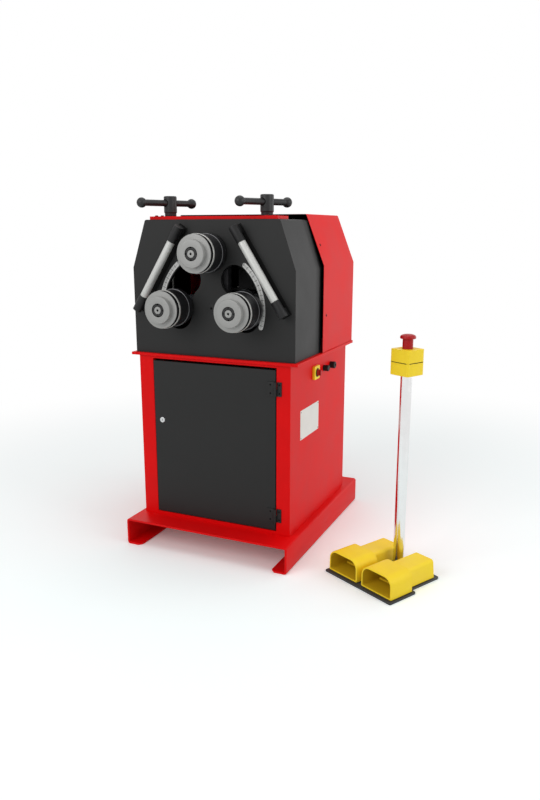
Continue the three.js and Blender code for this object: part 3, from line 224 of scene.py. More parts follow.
# What each way of making leaves on a surface, in mm: a grain, as coarse as it needs to show,
# and patches in which shade and gloss drift. Powder coat has an orange peel, moulded plastic
# a dense grain, a casting the skin of its sand mould, a polished tube haze where it was held
making = {
    "coat": {"texture": "TexNoise", "grain": 1.3, "detail": 2, "depth": 0.010, "patch": 140,
        "patchDetail": 4, "drift": 0.05, "dull": (-0.03, 0.04)},
    "moulded": {"texture": "TexVoronoi", "grain": 0.7, "detail": 0, "depth": 0.012, "patch": 50,
        "patchDetail": 3, "drift": 0.04, "dull": (-0.04, 0.05)},
    "cast": {"texture": "TexNoise", "grain": 2.6, "detail": 4, "depth": 0.12, "patch": 60,
        "patchDetail": 3, "drift": 0.10, "dull": (0, 0.12)},
    "polished": {"texture": "TexNoise", "grain": 0.5, "detail": 2, "depth": 0.0006, "patch": 35,
        "patchDetail": 4, "drift": 0.02, "dull": (0, 0.06), "metal": 1.0},
}


# A change of "shade" gives the two depths between which painted shade darkens a coat towards an
# edge
def surface(way, name, colour, rough, specular=0.5, changes=()):
    look = {"metal": 0.0, "shade": None, **making[way], **dict(changes)}
    material, tree, shader, where = startMaterial(
        name, {"Specular IOR Level": specular, "Metallic": look["metal"]})
    spot = where["Object"]
    fine = add(tree, look["texture"], {"Vector": spot, "Scale": 1 / (look["grain"] * mm),
        "Detail": look["detail"]})
    broad = add(tree, "TexNoise", {"Vector": spot, "Scale": 1 / (look["patch"] * mm),
        "Detail": look["patchDetail"]})
    layFinish(tree, shader, colour, look["drift"], broad, broad,
        [rough + change for change in look["dull"]], fine, look["depth"] * mm)
    # painted shade: the coat turns near black between the two depths
    if look["shade"]:
        start, end = look["shade"]
        depth = add(tree, "SeparateXYZ", {0: spot}).outputs["Y"]
        dark = add(tree, "MapRange", {"Value": depth, "From Min": start, "From Max": end},
            interpolation_type="SMOOTHSTEP")
        coverWith(tree, shader, dark, "050505")
    return material


# Turned or ground metal: fine lines follow the piece's profile, so light spreads across them.
# On a drawn tube they lie along it instead, and "run" is the way round it in metres
def turnedMetal(name, colour, rough, metal=1.0, depth=0.0035, along="Y", run=1.0):
    lathe = {"line": 0.32 * mm, "drift": 0.07, "patch": 30 * mm}
    material, tree, shader, where = startMaterial(name, {"Metallic": metal})
    parts = add(tree, "SeparateXYZ", {0: where["UV"]})
    count = add(tree, "Math", {0: parts.outputs[along], 1: run / lathe["line"]},
        operation="MULTIPLY")
    lines = add(tree, "TexNoise", {"W": count, "Scale": 1.0, "Detail": 2.0}, noise_dimensions="1D")
    patches = add(tree, "TexNoise", {"Vector": where["Object"], "Scale": 1 / lathe["patch"],
        "Detail": 3.0})
    layFinish(tree, shader, colour, lathe["drift"], lines, patches, (rough - 0.04, rough + 0.05),
        lines, depth * mm)
    return material


# Graduated plate: dark marks, one a degree, with a longer one every five degrees. A mark lies
# where the angle is near a whole number of steps and the radius is near the middle one
def graduated(name, centre):
    marks = {"middle": 217.7 * mm, "fine": (1.0, 0.272, 3.2 * mm), "bold": (5.0, 0.12, 5.8 * mm),
        "patch": 20 * mm, "brushing": 0.4 * mm, "depth": 0.002 * mm}
    material, tree, shader, where = startMaterial(name, {"Metallic": 0.25, "Roughness": 0.42})
    spot = where["Object"]
    parts = add(tree, "SeparateXYZ", {0: spot}).outputs
    rows = [("across", "SUBTRACT", "x", centre.x), ("up", "SUBTRACT", "z", centre.z),
        ("side", "ABSOLUTE", "across"), ("turn", "ARCTAN2", "up", "side"),
        ("angle", "DEGREES", "turn"), ("across squared", "MULTIPLY", "across", "across"),
        ("up squared", "MULTIPLY", "up", "up"),
        ("squares", "ADD", "across squared", "up squared"), ("reach", "SQRT", "squares"),
        ("over", "SUBTRACT", "reach", marks["middle"]), ("offset", "ABSOLUTE", "over")]
    for kind in ("fine", "bold"):
        step, share, half = marks[kind]
        rows += [("steps", "DIVIDE", "angle", step), ("moved", "ADD", "steps", 60 + share / 2),
            ("phase", "FRACT", "moved"), ("near", "LESS_THAN", "phase", share),
            ("within", "LESS_THAN", "offset", half), (kind, "MULTIPLY", "near", "within")]
    ink = workOut(tree, rows + [("ink", "MAXIMUM", "fine", "bold")], x=parts["X"], z=parts["Z"])
    patches = add(tree, "TexNoise", {"Vector": spot, "Scale": 1 / marks["patch"], "Detail": 3.0})
    brushing = add(tree, "TexNoise", {"Vector": spot, "Scale": 1 / marks["brushing"],
        "Detail": 2.0})
    layFinish(tree, shader, "c4c4c2", 0.05, patches, bumps=brushing, depth=marks["depth"])
    coverWith(tree, shader, ink, "2b2b2b")
    return material


# Plated lock face: bright metal with a dark slot for the key, painted on the flat face as the
# shade of a keyhole
def keyFace(name, centre):
    key = {"halfWidth": 1.0 * mm, "half": 4.4 * mm, "patch": 6 * mm, "rough": (0.16, 0.26)}
    material, tree, shader, where = startMaterial(name, {"Metallic": 1.0})
    parts = add(tree, "SeparateXYZ", {0: where["Object"]}).outputs
    rows = []
    for axis, place, half in (("x", centre.x, key["halfWidth"]), ("z", centre.z, key["half"])):
        rows += [("away", "SUBTRACT", axis, place), ("size", "ABSOLUTE", "away"),
            ("within " + axis, "LESS_THAN", "size", half)]
    slot = workOut(tree, rows + [("slot", "MULTIPLY", "within x", "within z")],
        x=parts["X"], z=parts["Z"])
    haze = add(tree, "TexNoise", {"Vector": where["Object"], "Scale": 1 / key["patch"],
        "Detail": 3.0})
    layFinish(tree, shader, "c8c9ca", 0.05, haze, haze, key["rough"])
    # painted shade of the keyhole
    coverWith(tree, shader, slot, "0c0c0c")
    return material


# Painted shade darkens the head towards the cover's edge, and the cover's far wall towards its
# front
def makeMaterials():
    size = inMetres({"headStart": 71, "headEnd": 41, "wallStart": 168, "wallEnd": 148})
    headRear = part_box("head_box")[1].y
    headShade = {"shade": (headRear - size["headStart"], headRear - size["headEnd"])}
    wallShade = {"shade": (size["wallStart"], size["wallEnd"])}
    surfaces = {"coat": {
        "redPaint": ("red powder coat with orange peel", "e00609", 0.45, 0.12),
        # painted shade on the top of the cover's rim
        "shadeRed": ("thin red coat on the cover's rim", "6a0a0c", 0.7, 0.1),
        # red, with painted shade towards the front
        "farWall": ("cover's far wall, red behind and dark in front", "ff0a0c", 0.7, 0.22,
            wallShade),
        "boltRed": ("red coat over bolt heads", "5a0508", 0.5, 0.2),
        # black of small screws, and painted shade inside the covers and on dark gaps
        "blackAndShade": ("flat black inside of the covers", "0b0a0a", 0.8, 0.1),
        "greyPaint": ("dark grey powder coat, fine and matt", "242424", 0.5, 0.22),
        # the head's coat, with painted shade towards the cover
        "headPaint": ("dark grey powder coat, dark towards the cover", "242424", 0.5, 0.22,
            headShade),
        # black coat of the station plate, and painted shade on the inner frame
        "blackPaintAndShade": ("black powder coat on folded steel", "363638", 0.5, 0.3),
        "zincPaint": ("light grey sheet enamel", "b9bcbd", 0.4),
        "whitePlate": ("white enamelled plate, satin", "e9e7e2", 0.34),
    }, "cast": {
        "casting": ("grey paint over sand-cast iron", "5c6064", 0.52),
    }, "moulded": {
        "blackPlastic": ("moulded black plastic, fine grain", "151516", 0.5, 0.3),
        # dull black of the box seal, and painted shadow of the handles
        "rubberAndShadow": ("black rubber strip, dull", "050505", 0.75, 0.15),
        "yellowPlastic": ("moulded yellow plastic, soft sheen", "ffdc2a", 0.46, 0.3,
            {"drift": 0.03}),
        # the hoods' yellow with painted shade
        "shadedYellow": ("yellow plastic in the depth of the hood", "d0ac1c", 0.6, 0.15,
            {"drift": 0.05}),
        "redPlastic": ("satin red plastic of knob and button", "a80810", 0.4, 0.3,
            {"depth": 0.005}),
    }, "polished": {
        "chrome": ("polished chromed tube", "e4e4e4", 0.12),
    }}
    metals = {
        "disc": ("turned disc, satin with fine face lines", "949492", 0.46, 0.35),
        "darkSteel": ("hardened dark steel, ground", "333335", 0.34, 0.6),
        "brightEdge": ("bright turned edge", "d8d8d4", 0.22),
        "dullEdge": ("dull turned edge", "5e5e60", 0.4, 0.5),
        "paleEdge": ("pale turned rim", "bcbcb8", 0.42, 0.35),
        "steel": ("turned bright steel", "a6a6a2", 0.3),
        "blackSteel": ("blackened steel, faintly oiled", "242425", 0.42, 0.4, 0.006),
        "oxide": ("black oxide on nuts and holes", "141415", 0.5, 0.2),
        "drawnTube": ("drawn aluminium, lines along the tube", "c8c8c5", 0.5, 0.3, 0.0035, "X",
            0.094),
    }
    made = {key: surface(way, *row) for way, rows in surfaces.items() for key, row in rows.items()}
    made.update({key: turnedMetal(*row) for key, row in metals.items()})
    low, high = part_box("door_lock")
    lockCentre = middle("door_lock")
    lockCentre.z = high.z - (high.x - low.x) / 2
    made["keyFace"] = keyFace("plated lock face with its key slot", lockCentre)
    made["graduated"] = graduated("graduated plate with fine dark marks", middle("drive_shaft"))
    return made


addCamera()
addRoom()
addLamps()
finish = makeMaterials()
print("camera, room and", len(finish), "materials made")


# Shapes


# Rounds the corners of an outline: near each corner the point is the blend
# (1-t)^2 before + 2t(1-t) corner + t^2 after, with t from 0 to 1
def easeCorners(points, radius, closed, steps):
    t = np.linspace(0, 1, steps)[None, :, None]

    def pulled(other):
        leg = other - points
        length = np.maximum(np.linalg.norm(leg, axis=1, keepdims=True), 1e-9)
        return points + leg * np.minimum(radius / length, 0.45)

    start, end = (pulled(np.roll(points, way, axis=0))[:, None] for way in (1, -1))
    eased = (1 - t) ** 2 * start + 2 * t * (1 - t) * points[:, None] + t ** 2 * end
    if closed:
        return eased.reshape(-1, 2)
    return np.vstack([points[:1], eased[1:-1].reshape(-1, 2), points[-1:]])


# A piece stands for the CAD node "owner", rides on its body and hides it, or rides on the body of
# that name
def settle(piece, owner):
    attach(piece, bodyOf.get(owner, owner))
    if owner in bodyOf:
        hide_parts(owner)


# An object for a mesh, with its finishes
def newObject(mesh, name, materials):
    mesh.name = name
    mesh.materials.clear()
    for material in materials:
        mesh.materials.append(finish[material])
    piece = bpy.data.objects.new(name, mesh)
    bpy.context.collection.objects.link(piece)
    return piece


# Makes a piece from a grid of points, or from several grids at once. Rows follow the profile,
# columns go round it, and "ring" joins the last row to the first. The UV map holds the share
# of the turn and the metres along "line", the profile. Poles are welded, faces turned outwards
def makePiece(name, grid, materials, owner, ring=False, line=None, faceMaterial=None,
        sharp=38, closeEnds=False):
    grid = grid.reshape(-1, *grid.shape[-3:])
    copies, rows, columns = grid.shape[:3]
    line = grid[0, :, 0] if line is None else line
    index = np.arange(rows * columns).reshape(rows, columns)
    if ring:
        index, line = np.vstack([index, index[:1]]), np.vstack([line, line[:1]])
    here, next_ = index[:-1], index[1:]
    faces = np.stack([here, np.roll(here, -1, 1), np.roll(next_, -1, 1), next_], -1)
    faces = faces.reshape(-1, 4) + np.arange(copies)[:, None, None] * rows * columns
    along = np.concatenate([[0], np.cumsum(np.linalg.norm(np.diff(line, axis=0), axis=1))])
    turn, before = np.meshgrid(np.arange(columns) / columns, along[:-1])
    after = np.meshgrid(turn[0], along[1:])[1]
    ahead = turn + 1 / columns
    corners = np.stack([turn, before, ahead, before, ahead, after, turn, after], -1)
    mesh = bpy.data.meshes.new(name)
    piece = newObject(mesh, name, materials)
    mesh.from_pydata(grid.reshape(-1, 3).tolist(), [], faces.reshape(-1, 4).tolist())
    uv = mesh.uv_layers.new(name="surface").data
    uv.foreach_set("uv", np.tile(corners.ravel(), copies))
    if faceMaterial is not None:
        mesh.polygons.foreach_set("material_index", faceMaterial)
    work = bmesh.new()
    work.from_mesh(mesh)
    bmesh.ops.remove_doubles(work, verts=work.verts, dist=1e-6)
    if closeEnds:
        bmesh.ops.holes_fill(work, edges=work.edges, sides=0)
    bmesh.ops.recalc_face_normals(work, faces=work.faces)
    work.to_mesh(mesh)
    work.free()
    mesh.shade_smooth()
    mesh.set_sharp_from_angle(angle=math.radians(sharp))
    settle(piece, owner)


def roundAngles(count):
    return np.linspace(0, 2 * np.pi, count, endpoint=False)


# Rotation that turns a shape's own long axis, Z, to a direction
def turnTo(direction):
    return np.array(Vector(direction).to_track_quat("Z", "Y").to_matrix()).T


# Carries a profile of (radius, distance) points round an axis through "centre":
# point = centre + radius cos a across + radius sin a up + distance along.
# "swell" may change the radius with the angle, as on a fluted cap
def turned(name, profile, centre, direction, materials, owner, steps=96, ease=0.5,
        legMaterial=None, swell=None):
    profile = np.array(profile, float)
    closed = profile[0, 0] > 0 or profile[-1, 0] > 0
    perPoint = 4
    eased = easeCorners(profile, ease * mm, closed, perPoint) if ease else profile
    angle = roundAngles(steps)
    radius, turn = np.meshgrid(eased[:, 0], angle, indexing="ij")
    distance = np.broadcast_to(eased[:, 1:], radius.shape)
    if swell:
        radius = swell(radius, distance, turn)
    local = np.stack([radius * np.cos(turn), radius * np.sin(turn), distance], -1)
    if legMaterial:
        # one digit a leg; a rounded corner takes the material of the leg after it
        legs = np.repeat([int(digit) for digit in legMaterial], perPoint)
        legs = legs if closed else legs[perPoint - 1:1 - perPoint]
        legMaterial = np.repeat(legs[:len(eased) - 1 + closed], steps)
    makePiece(name, local @ turnTo(direction) + np.array(centre), materials, owner, closed,
        eased, legMaterial)


# Ring of points round a box with rounded corners: each quarter is centre + r (cos a, sin a).
# Every size may be an array, one value for each row of the loft
def boxRing(half, low, high, upper, lower, quarter):
    half, low, high, upper, lower = (
        size[:, None] for size in np.broadcast_arrays(half, low, high, upper, lower))
    rings = []
    for k, (way, up, radius) in enumerate(((1, high - upper, upper), (-1, high - upper, upper),
            (-1, low + lower, lower), (1, low + lower, lower))):
        angle = np.linspace(0, np.pi / 2, quarter) + k * np.pi / 2
        rings.append(np.stack([way * (half - radius) + radius * np.cos(angle),
            up + radius * np.sin(angle)], -1))
    return np.concatenate(rings, axis=1)


# Block with rounded corners and eased rims, carried from its bottom to its top;
# "axes" are its ways across, up and along, from the point "place"
def slab(name, halves, corner, low, high, material, owner, axes, place, edge=0.6, taper=0):
    t = np.linspace(0, np.pi / 2, 5)
    edge, taper, corner = (size * mm for size in (edge, taper, corner))
    inset = np.concatenate([edge * (1 - np.sin(t)), edge * (1 - np.cos(t)) + taper])
    level = np.concatenate([low + edge * (1 - np.cos(t)), high - edge * (1 - np.sin(t))])
    ring = boxRing(halves[0] - inset, inset - halves[1], halves[1] - inset, corner, corner, 6)
    along = np.broadcast_to(level[:, None, None], (*ring.shape[:2], 1))
    grid = np.concatenate([ring, along], -1) @ np.array(axes) + np.array(place)
    makePiece(name, grid, [material], owner, closeEnds=True)


# Copy of a folded or cast CAD node with its edges rounded, so that they catch the light;
# "inner" gives every face the number of its finish, from its centre and its normal
def eased(node, material, width=0.9, segments=2, inner=None, innerMaterials=("blackAndShade",)):
    mesh = frame["nodes"][node].data.copy()
    work = bmesh.new()
    work.from_mesh(mesh)
    bmesh.ops.remove_doubles(work, verts=work.verts, dist=1e-5)
    bmesh.ops.dissolve_limit(work, angle_limit=math.radians(0.5), verts=work.verts,
        edges=work.edges)
    work.to_mesh(mesh)
    work.free()
    materials = [material, *innerMaterials] if inner else [material]
    piece = newObject(mesh, node + "_eased", materials)
    if inner:
        centres = np.array([face.center[:] for face in mesh.polygons])
        normals = np.array([face.normal[:] for face in mesh.polygons])
        mesh.polygons.foreach_set("material_index", inner(centres, normals).astype(np.int32))
    sharp = math.radians(42)
    bevel = piece.modifiers.new("rounded edge", "BEVEL")
    bevel.width = width * mm
    bevel.segments = segments
    bevel.limit_method = "ANGLE"
    bevel.angle_limit = sharp
    bevel.harden_normals = False
    mesh.shade_smooth()
    mesh.set_sharp_from_angle(angle=sharp)
    settle(piece, node)


# Small fasteners: one grid for the head, copied to every spot in one go; "sizes" are its
# radius, height and socket in mm. The socket's wall is a hexagon:
# radius = flat / cos(angle within its sixth)
def buttonHeads(name, spots, direction, material, sizes, body="stand"):
    radius, height, socket = (size * mm for size in sizes)
    floor, sunk, rim = height * 0.45, -0.4 * mm, socket * 1.3
    dome = np.linspace(0, np.pi / 2, 6)[1:]
    profile = np.vstack([[0, floor], [socket, floor], [socket, height],
        np.stack([rim + (radius - rim) * np.sin(dome),
        height * np.cos(dome)], -1), [radius, sunk], [0, sunk]])
    angle = roundAngles(24)
    reach, turn = np.meshgrid(profile[:, 0], angle, indexing="ij")
    sixth = np.cos((turn % (np.pi / 3)) - np.pi / 6)
    reach = np.where((reach > 0) & (reach < socket * 1.1), reach / sixth, reach)
    level = np.broadcast_to(profile[:, 1:], reach.shape)
    head = np.stack([reach * np.cos(turn), reach * np.sin(turn), level], -1) @ turnTo(direction)
    spots = np.array([tuple(spot) for spot in spots])
    makePiece(name, head[None] + spots[:, None, None], [material], body)


# Folded sheet, castings and moulded boxes


def sheetMetal():
    edge = {"fold": 1.6, "sheet": 0.7, "above": 2 * mm, "rim": 1 * mm, "facing": 0.9}
    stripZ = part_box("head_box")[1].z + edge["above"]
    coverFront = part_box("rear_cover")[0].y + edge["rim"]

    # a face looks inwards where its normal points to the middle of the shell
    def facesIn(node):
        heart = np.array(middle(node))
        return lambda centres, normals: ((heart - centres) * normals).sum(1) > 0

    # painted shade: black inside and on the front rim, the far wall red with painted shade in
    # front, and the rim's top a shaded dark red
    def coverInside(centres, normals):
        rim = (normals[:, 1] < -edge["facing"]) & (centres[:, 1] < coverFront)
        inside = facesIn("rear_cover")(centres, normals)
        finishes = np.where(rim | inside, 1, 0)
        finishes = np.where(inside & (normals[:, 0] > edge["facing"]), 2, finishes)
        return np.where(rim & (centres[:, 2] > stripZ), 3, finishes)

    eased("rear_cover", "redPaint", edge["fold"], 3, coverInside,
        ("blackAndShade", "farWall", "shadeRed"))
    # the head's inside is black as painted shade
    eased("head_box", "headPaint", edge["fold"], 3, facesIn("head_box"))
    # the red frame is painted black below the strip as shade, since it is only seen through the
    # slots
    eased("inner_frame", "redPaint", edge["sheet"], innerMaterials=("blackPaintAndShade",),
        inner=lambda centres, normals: centres[:, 2] < stripZ)
    for node in ("base_frame", "cabinet_shell", "table_plate"):
        eased(node, "redPaint", edge["fold"], 3)
    eased("door_panel", "greyPaint", edge["sheet"], 3)
    eased("control_box", "zincPaint", edge["fold"])
    print("sheet metal done")


def castings():
    for node in ("gearbox", "motor", "arm_left", "arm_right"):
        eased(node, "casting", 1.5)
    print("castings done")


# CAD nodes whose shape is right keep it and get a better finish
def keptNodes():
    kept = {"scale": "graduated", "screw_nut": "steel", "chain": "blackSteel"}
    finishes = {f"{node}_{side}": kept[node] for node in kept for side in sides}
    for node, material in {**finishes, "drive_shaft": "steel"}.items():
        materials = frame["nodes"][node].data.materials
        materials.clear()
        materials.append(finish[material])
    print("kept nodes done")


# Hinges keep their folded leaves, with a countersunk screw at each end of a leaf
def hinges():
    screw = {"sizes": (3.6, 0.9, 1.1), "fromEnd": 11 * mm, "deep": 3.0 * mm, "edge": 0.4,
        "frame": ("blackPlastic", 0.72), "door": ("greyPaint", 0.36)}
    for level in ("upper", "lower"):
        for half in ("frame", "door"):
            node = f"hinge_{half}_{level}"
            material, share = screw[half]
            eased(node, material, screw["edge"])
            low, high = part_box(node)
            across, faceY = low.x + (high.x - low.x) * share, high.y - screw["deep"]
            spots = [(across, faceY, low.z + screw["fromEnd"]),
                (across, faceY, high.z - screw["fromEnd"])]
            buttonHeads(f"hinge_screws_{half}_{level}", spots, (0, -1, 0), "blackAndShade",
                screw["sizes"], bodyOf[node])
    print("hinges done")


# Rolls


# Front ring: a thin flange with the raised hub, bored out in front for the nut
def rollRing(place):
    node = f"roll_ring_{place}"
    low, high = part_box(node)
    size = inMetres({"hub": 51, "hubHeight": 20, "bore": 14.6, "bevel": 1.8, "counter": 25.4,
        "seat": 12, "rim": 0.5, "less": 2.2})
    hub, hubHeight, bore, bevel, counter, seat, rim, less = size.values()
    radius = (high.x - low.x) / 2 - less
    front, rear, flange = low.y, high.y, low.y + hubHeight
    profile = [(bore, front + seat), (counter, front + seat), (counter, front + rim),
        (counter + rim, front), (hub - bevel, front), (hub, front + bevel), (hub, flange),
        (radius - rim, flange), (radius, flange + rim), (radius, rear - rim),
        (radius - rim, rear), (bore, rear)]
    turned(f"ring_{place}", profile, middle(node, "y"), (0, 1, 0), ["disc", "oxide"], node,
        steps=144, ease=0.3, legMaterial="110000000011")


# Roll body: a groove behind the front ring, a pale rim, the dark waist and a broad rear rim
def rollBody(place):
    node = f"roll_body_{place}"
    low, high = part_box(node)
    size = inMetres({"bore": 20.6, "groove": 14, "grooveDepth": 10, "rim": 10, "rearRim": 28,
        "waist": 2.3, "edge": 1.2, "line": 0.7})
    bore, groove, grooveDepth, rim, rearRim, waist, edge, line = size.values()
    radius = (high.x - low.x) / 2
    start, end, rimStart, rear = low.y, high.y, low.y + groove, high.y - rearRim
    profile = [(bore, start), (radius - grooveDepth, start), (radius - grooveDepth, rimStart),
        (radius - edge, rimStart), (radius, rimStart + edge),
        (radius, rimStart + rim - edge), (radius - waist, rimStart + rim),
        (radius - waist, rear), (radius, rear + line), (radius, end - edge),
        (radius - edge, end), (bore, end)]
    turned(f"roll_{place}", profile, middle(node, "y"), (0, 1, 0),
        ["darkSteel", "paleEdge", "dullEdge"], node, steps=144, ease=0.3,
        legMaterial="000110020000")


# Shaft: bright stub with its centre hole, seat, collar and journal; the tail carries a wheel
def rollShaft(place):
    node = f"shaft_{place}"
    low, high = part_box(node)
    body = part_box(f"roll_body_{place}")
    size = inMetres({"hole": 4, "holeDepth": 10, "stub": 14, "seat": 20, "collar": 36,
        "journal": 25, "bevel": 1.2, "play": 0.3, "less": 0.2,
        "length": 24.4 if place == "upper" else 36.4})
    hole, holeDepth, stub, seat, collar, journal, bevel, play, less, length = size.values()
    front, rear, collarStart = low.y, high.y - less, body[1].y + play
    collarEnd = collarStart + length
    profile = [(0, front + holeDepth), (hole, front + holeDepth - hole), (hole, front + bevel),
        (hole + bevel, front), (stub - bevel, front), (stub, front + bevel),
        (stub, body[0].y - play), (seat, body[0].y), (seat, collarStart),
        (collar - bevel, collarStart), (collar, collarStart + bevel),
        (collar, collarEnd), (journal, collarEnd), (journal, rear), (0, rear)]
    turned(f"spindle_{place}", profile, middle(f"roll_ring_{place}", "y"), (0, 1, 0),
        ["disc", "oxide"], node, ease=0.3, legMaterial="110000001111000")


# Wheel outline at every angle: a chain wheel's or a gear's tooth rises and falls as a
# clipped cosine of the angle times the number of teeth
def toothedWheel(name, node, centre, root, tip, teeth, width, phase=0.0):
    tooth = {"rim": 1.2 * mm, "points": 10, "rise": 1.1,
        "shares": (0.25, 0.985, 1, 1, 0.985, 0.25)}
    high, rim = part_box(node)[1].y, tooth["rim"]
    low = high - width * mm
    angle = roundAngles(teeth * tooth["points"])
    wave = np.clip(0.5 + tooth["rise"] * np.cos(teeth * (angle - phase)), 0, 1)
    share = np.array(tooth["shares"])
    reach = (root + (tip - root) * wave)[None] * mm * share[:, None]
    reach[[0, -1]] = root * mm * share[0]
    level = np.array([low, low, low + rim, high - rim, high, high])[:, None]
    grid = np.stack([centre.x + reach * np.cos(angle), np.broadcast_to(level, reach.shape),
        centre.z + reach * np.sin(angle)], -1)
    makePiece(name, grid, ["steel"], bodyOf[node], True, sharp=30)


# Chain wheels on the lower shafts, and the gear on the upper one, half a tooth on
def shaftWheels():
    chainWheel = {"root": 32.5, "tip": 35.8, "teeth": 17, "width": 15}
    gear = {"root": 96.2, "tip": 110.4, "teeth": 26, "width": 28, "phase": math.pi / 26}
    for side in sides:
        toothedWheel(f"chain_wheel_{side}", f"shaft_{side}", middle(f"roll_ring_{side}", "y"),
            **chainWheel)
    toothedWheel("upper_gear", "shaft_upper", middle("shaft_upper", "y"), **gear)


# Round nut: four spanner slots are cut where the angle comes near a quarter turn
def lockNut(place):
    node = f"lock_nut_{place}"
    low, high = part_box(node)
    radius = (high.x - low.x) / 2
    size = inMetres({"bore": 14.5, "slotHalf": 3.5, "slotDepth": 3.6, "bevel": 1.5,
        "slotEase": 0.6, "rim": 4.2})
    bore, slotHalf, slotDepth, bevel, slotEase, rim = size.values()

    def swell(reach, distance, turn):
        away = np.abs((turn + np.pi / 4) % (np.pi / 2) - np.pi / 4) * radius
        cut = np.clip((slotHalf + slotEase - away) / slotEase, 0, 1)
        return np.where(reach > radius - rim, reach - slotDepth * cut, reach)

    profile = [(bore, low.y + bevel), (bore + bevel, low.y), (radius - bevel, low.y),
        (radius, low.y + bevel), (radius, high.y - bevel), (radius - bevel, high.y),
        (bore, high.y)]
    turned(f"nut_{place}", profile, middle(node, "y"), (0, 1, 0), ["oxide"], node, steps=144,
        ease=0.3, swell=swell)


def rolls():
    for place in ("upper", *sides):
        rollRing(place)
        rollBody(place)
        rollShaft(place)
        lockNut(place)
    shaftWheels()
    print("rolls done")


# Screws and their sliding bars


# Thread: the radius follows a triangle wave of height over pitch plus the share of a turn,
# and fades in over its first few millimetres
def threadRod(name, centre, radius, low, high, body):
    thread = {"pitch": 6.0 * mm, "depth": 1.6 * mm, "perPitch": 8, "around": 28, "fade": 4 * mm,
        "faint": 0.3, "steep": 1.6, "flat": 0.3}
    levels = int((high - low) / thread["pitch"] * thread["perPitch"])
    height, turn = np.meshgrid(np.linspace(low, high, levels), roundAngles(thread["around"]),
        indexing="ij")
    phase = (height / thread["pitch"] + turn / (2 * np.pi)) % 1
    fade = np.clip((height - low) / thread["fade"], thread["faint"], 1)
    flank = np.clip(np.abs(phase * 2 - 1) * thread["steep"] - thread["flat"], 0, 1)
    reach = radius - thread["depth"] * flank * fade
    grid = np.stack([centre.x + reach * np.cos(turn), centre.y + reach * np.sin(turn), height], -1)
    makePiece(name, grid, ["steel"], body, closeEnds=True)


def adjustScrew(side):
    node = f"adjust_screw_{side}"
    low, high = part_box(node)
    centre = middle(node, "z")
    size = inMetres({"head": 25, "headHeight": 64, "bevel": 3, "neck": 22.5, "neckHeight": 12,
        "journal": 14, "shoulder": 20, "rod": 10, "shoulderTop": 1278,
        "shoulderHeight": 10})
    head, headHeight, bevel, neck, neckHeight, journal, shoulder, rod, top, tall = size.values()
    headZ = high.z - headHeight
    neckZ = headZ - neckHeight
    profile = [(0, top - tall), (shoulder, top - tall), (shoulder, top), (journal, top),
        (journal, neckZ), (neck, neckZ), (neck, headZ), (head, headZ + bevel),
        (head, high.z - bevel), (head - bevel, high.z), (0, high.z)]
    turned(f"screw_head_{side}", profile, centre, (0, 0, 1), ["blackSteel"], node, ease=0.9)
    threadRod(f"screw_thread_{side}", centre, rod, low.z, top - tall, bodyOf[node])
    return centre


# Bar with a ball at each end: the ball's radius is r sin a and its place r cos a.
# A dark rim lies on the round head where the bar goes in, painted shade for the gap round the bar:
# its depth is the root of the head's radius squared less the sideways distance squared
def tommyBar(side, centre):
    node = f"tommy_bar_{side}"
    low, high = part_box(node)
    place = middle(node)
    size = inMetres({"ball": 19, "bar": 12, "fillet": 1.2, "head": 25, "rim": 2.8, "gap": 0.1,
        "proud": 0.25, "sunk": -2})
    ball, bar, fillet, head, rim, gap, proud, sunk = size.values()
    run = Vector((high.x - low.x - 2 * ball, high.y - low.y - 2 * ball, 0))
    along = run.normalized()
    arc = np.linspace(0, np.pi - math.asin((bar + fillet) / ball), 22)
    end = np.stack([ball * np.sin(arc), run.length / 2 + ball * np.cos(arc)], -1)
    start = end[-1, 1]
    oneEnd = np.vstack([end, [(bar + fillet * 0.35, start - fillet * 0.5),
        (bar, start - fillet * 1.5)]])
    profile = np.vstack([oneEnd, (oneEnd * (1, -1))[::-1]])
    profile[0, 0] = profile[-1, 0] = 0
    turned(f"bar_{side}", profile, place, along, ["blackSteel"], node, steps=64, ease=0)
    turn = roundAngles(48)
    reach = bar + np.array([gap, gap, rim, rim])[:, None]
    sideways, upward = reach * np.cos(turn), reach * np.sin(turn)
    depth = np.sqrt(head ** 2 - sideways ** 2) + np.array([sunk, proud, proud, sunk])[:, None]
    across = Vector((0, 0, 1)).cross(along)
    # the dark rims paint the shade in the gap round the bar
    for k, way in enumerate((-1, 1)):
        grid = np.stack([sideways, upward, depth * way], -1) @ np.array((across, (0, 0, 1), along))
        makePiece(f"bar_gap_shade_{side}_{k}", grid + (centre.x, centre.y, place.z), ["blackAndShade"],
            f"{side}_screw", True)


def screws():
    for side in sides:
        tommyBar(side, adjustScrew(side))
    print("screws done")
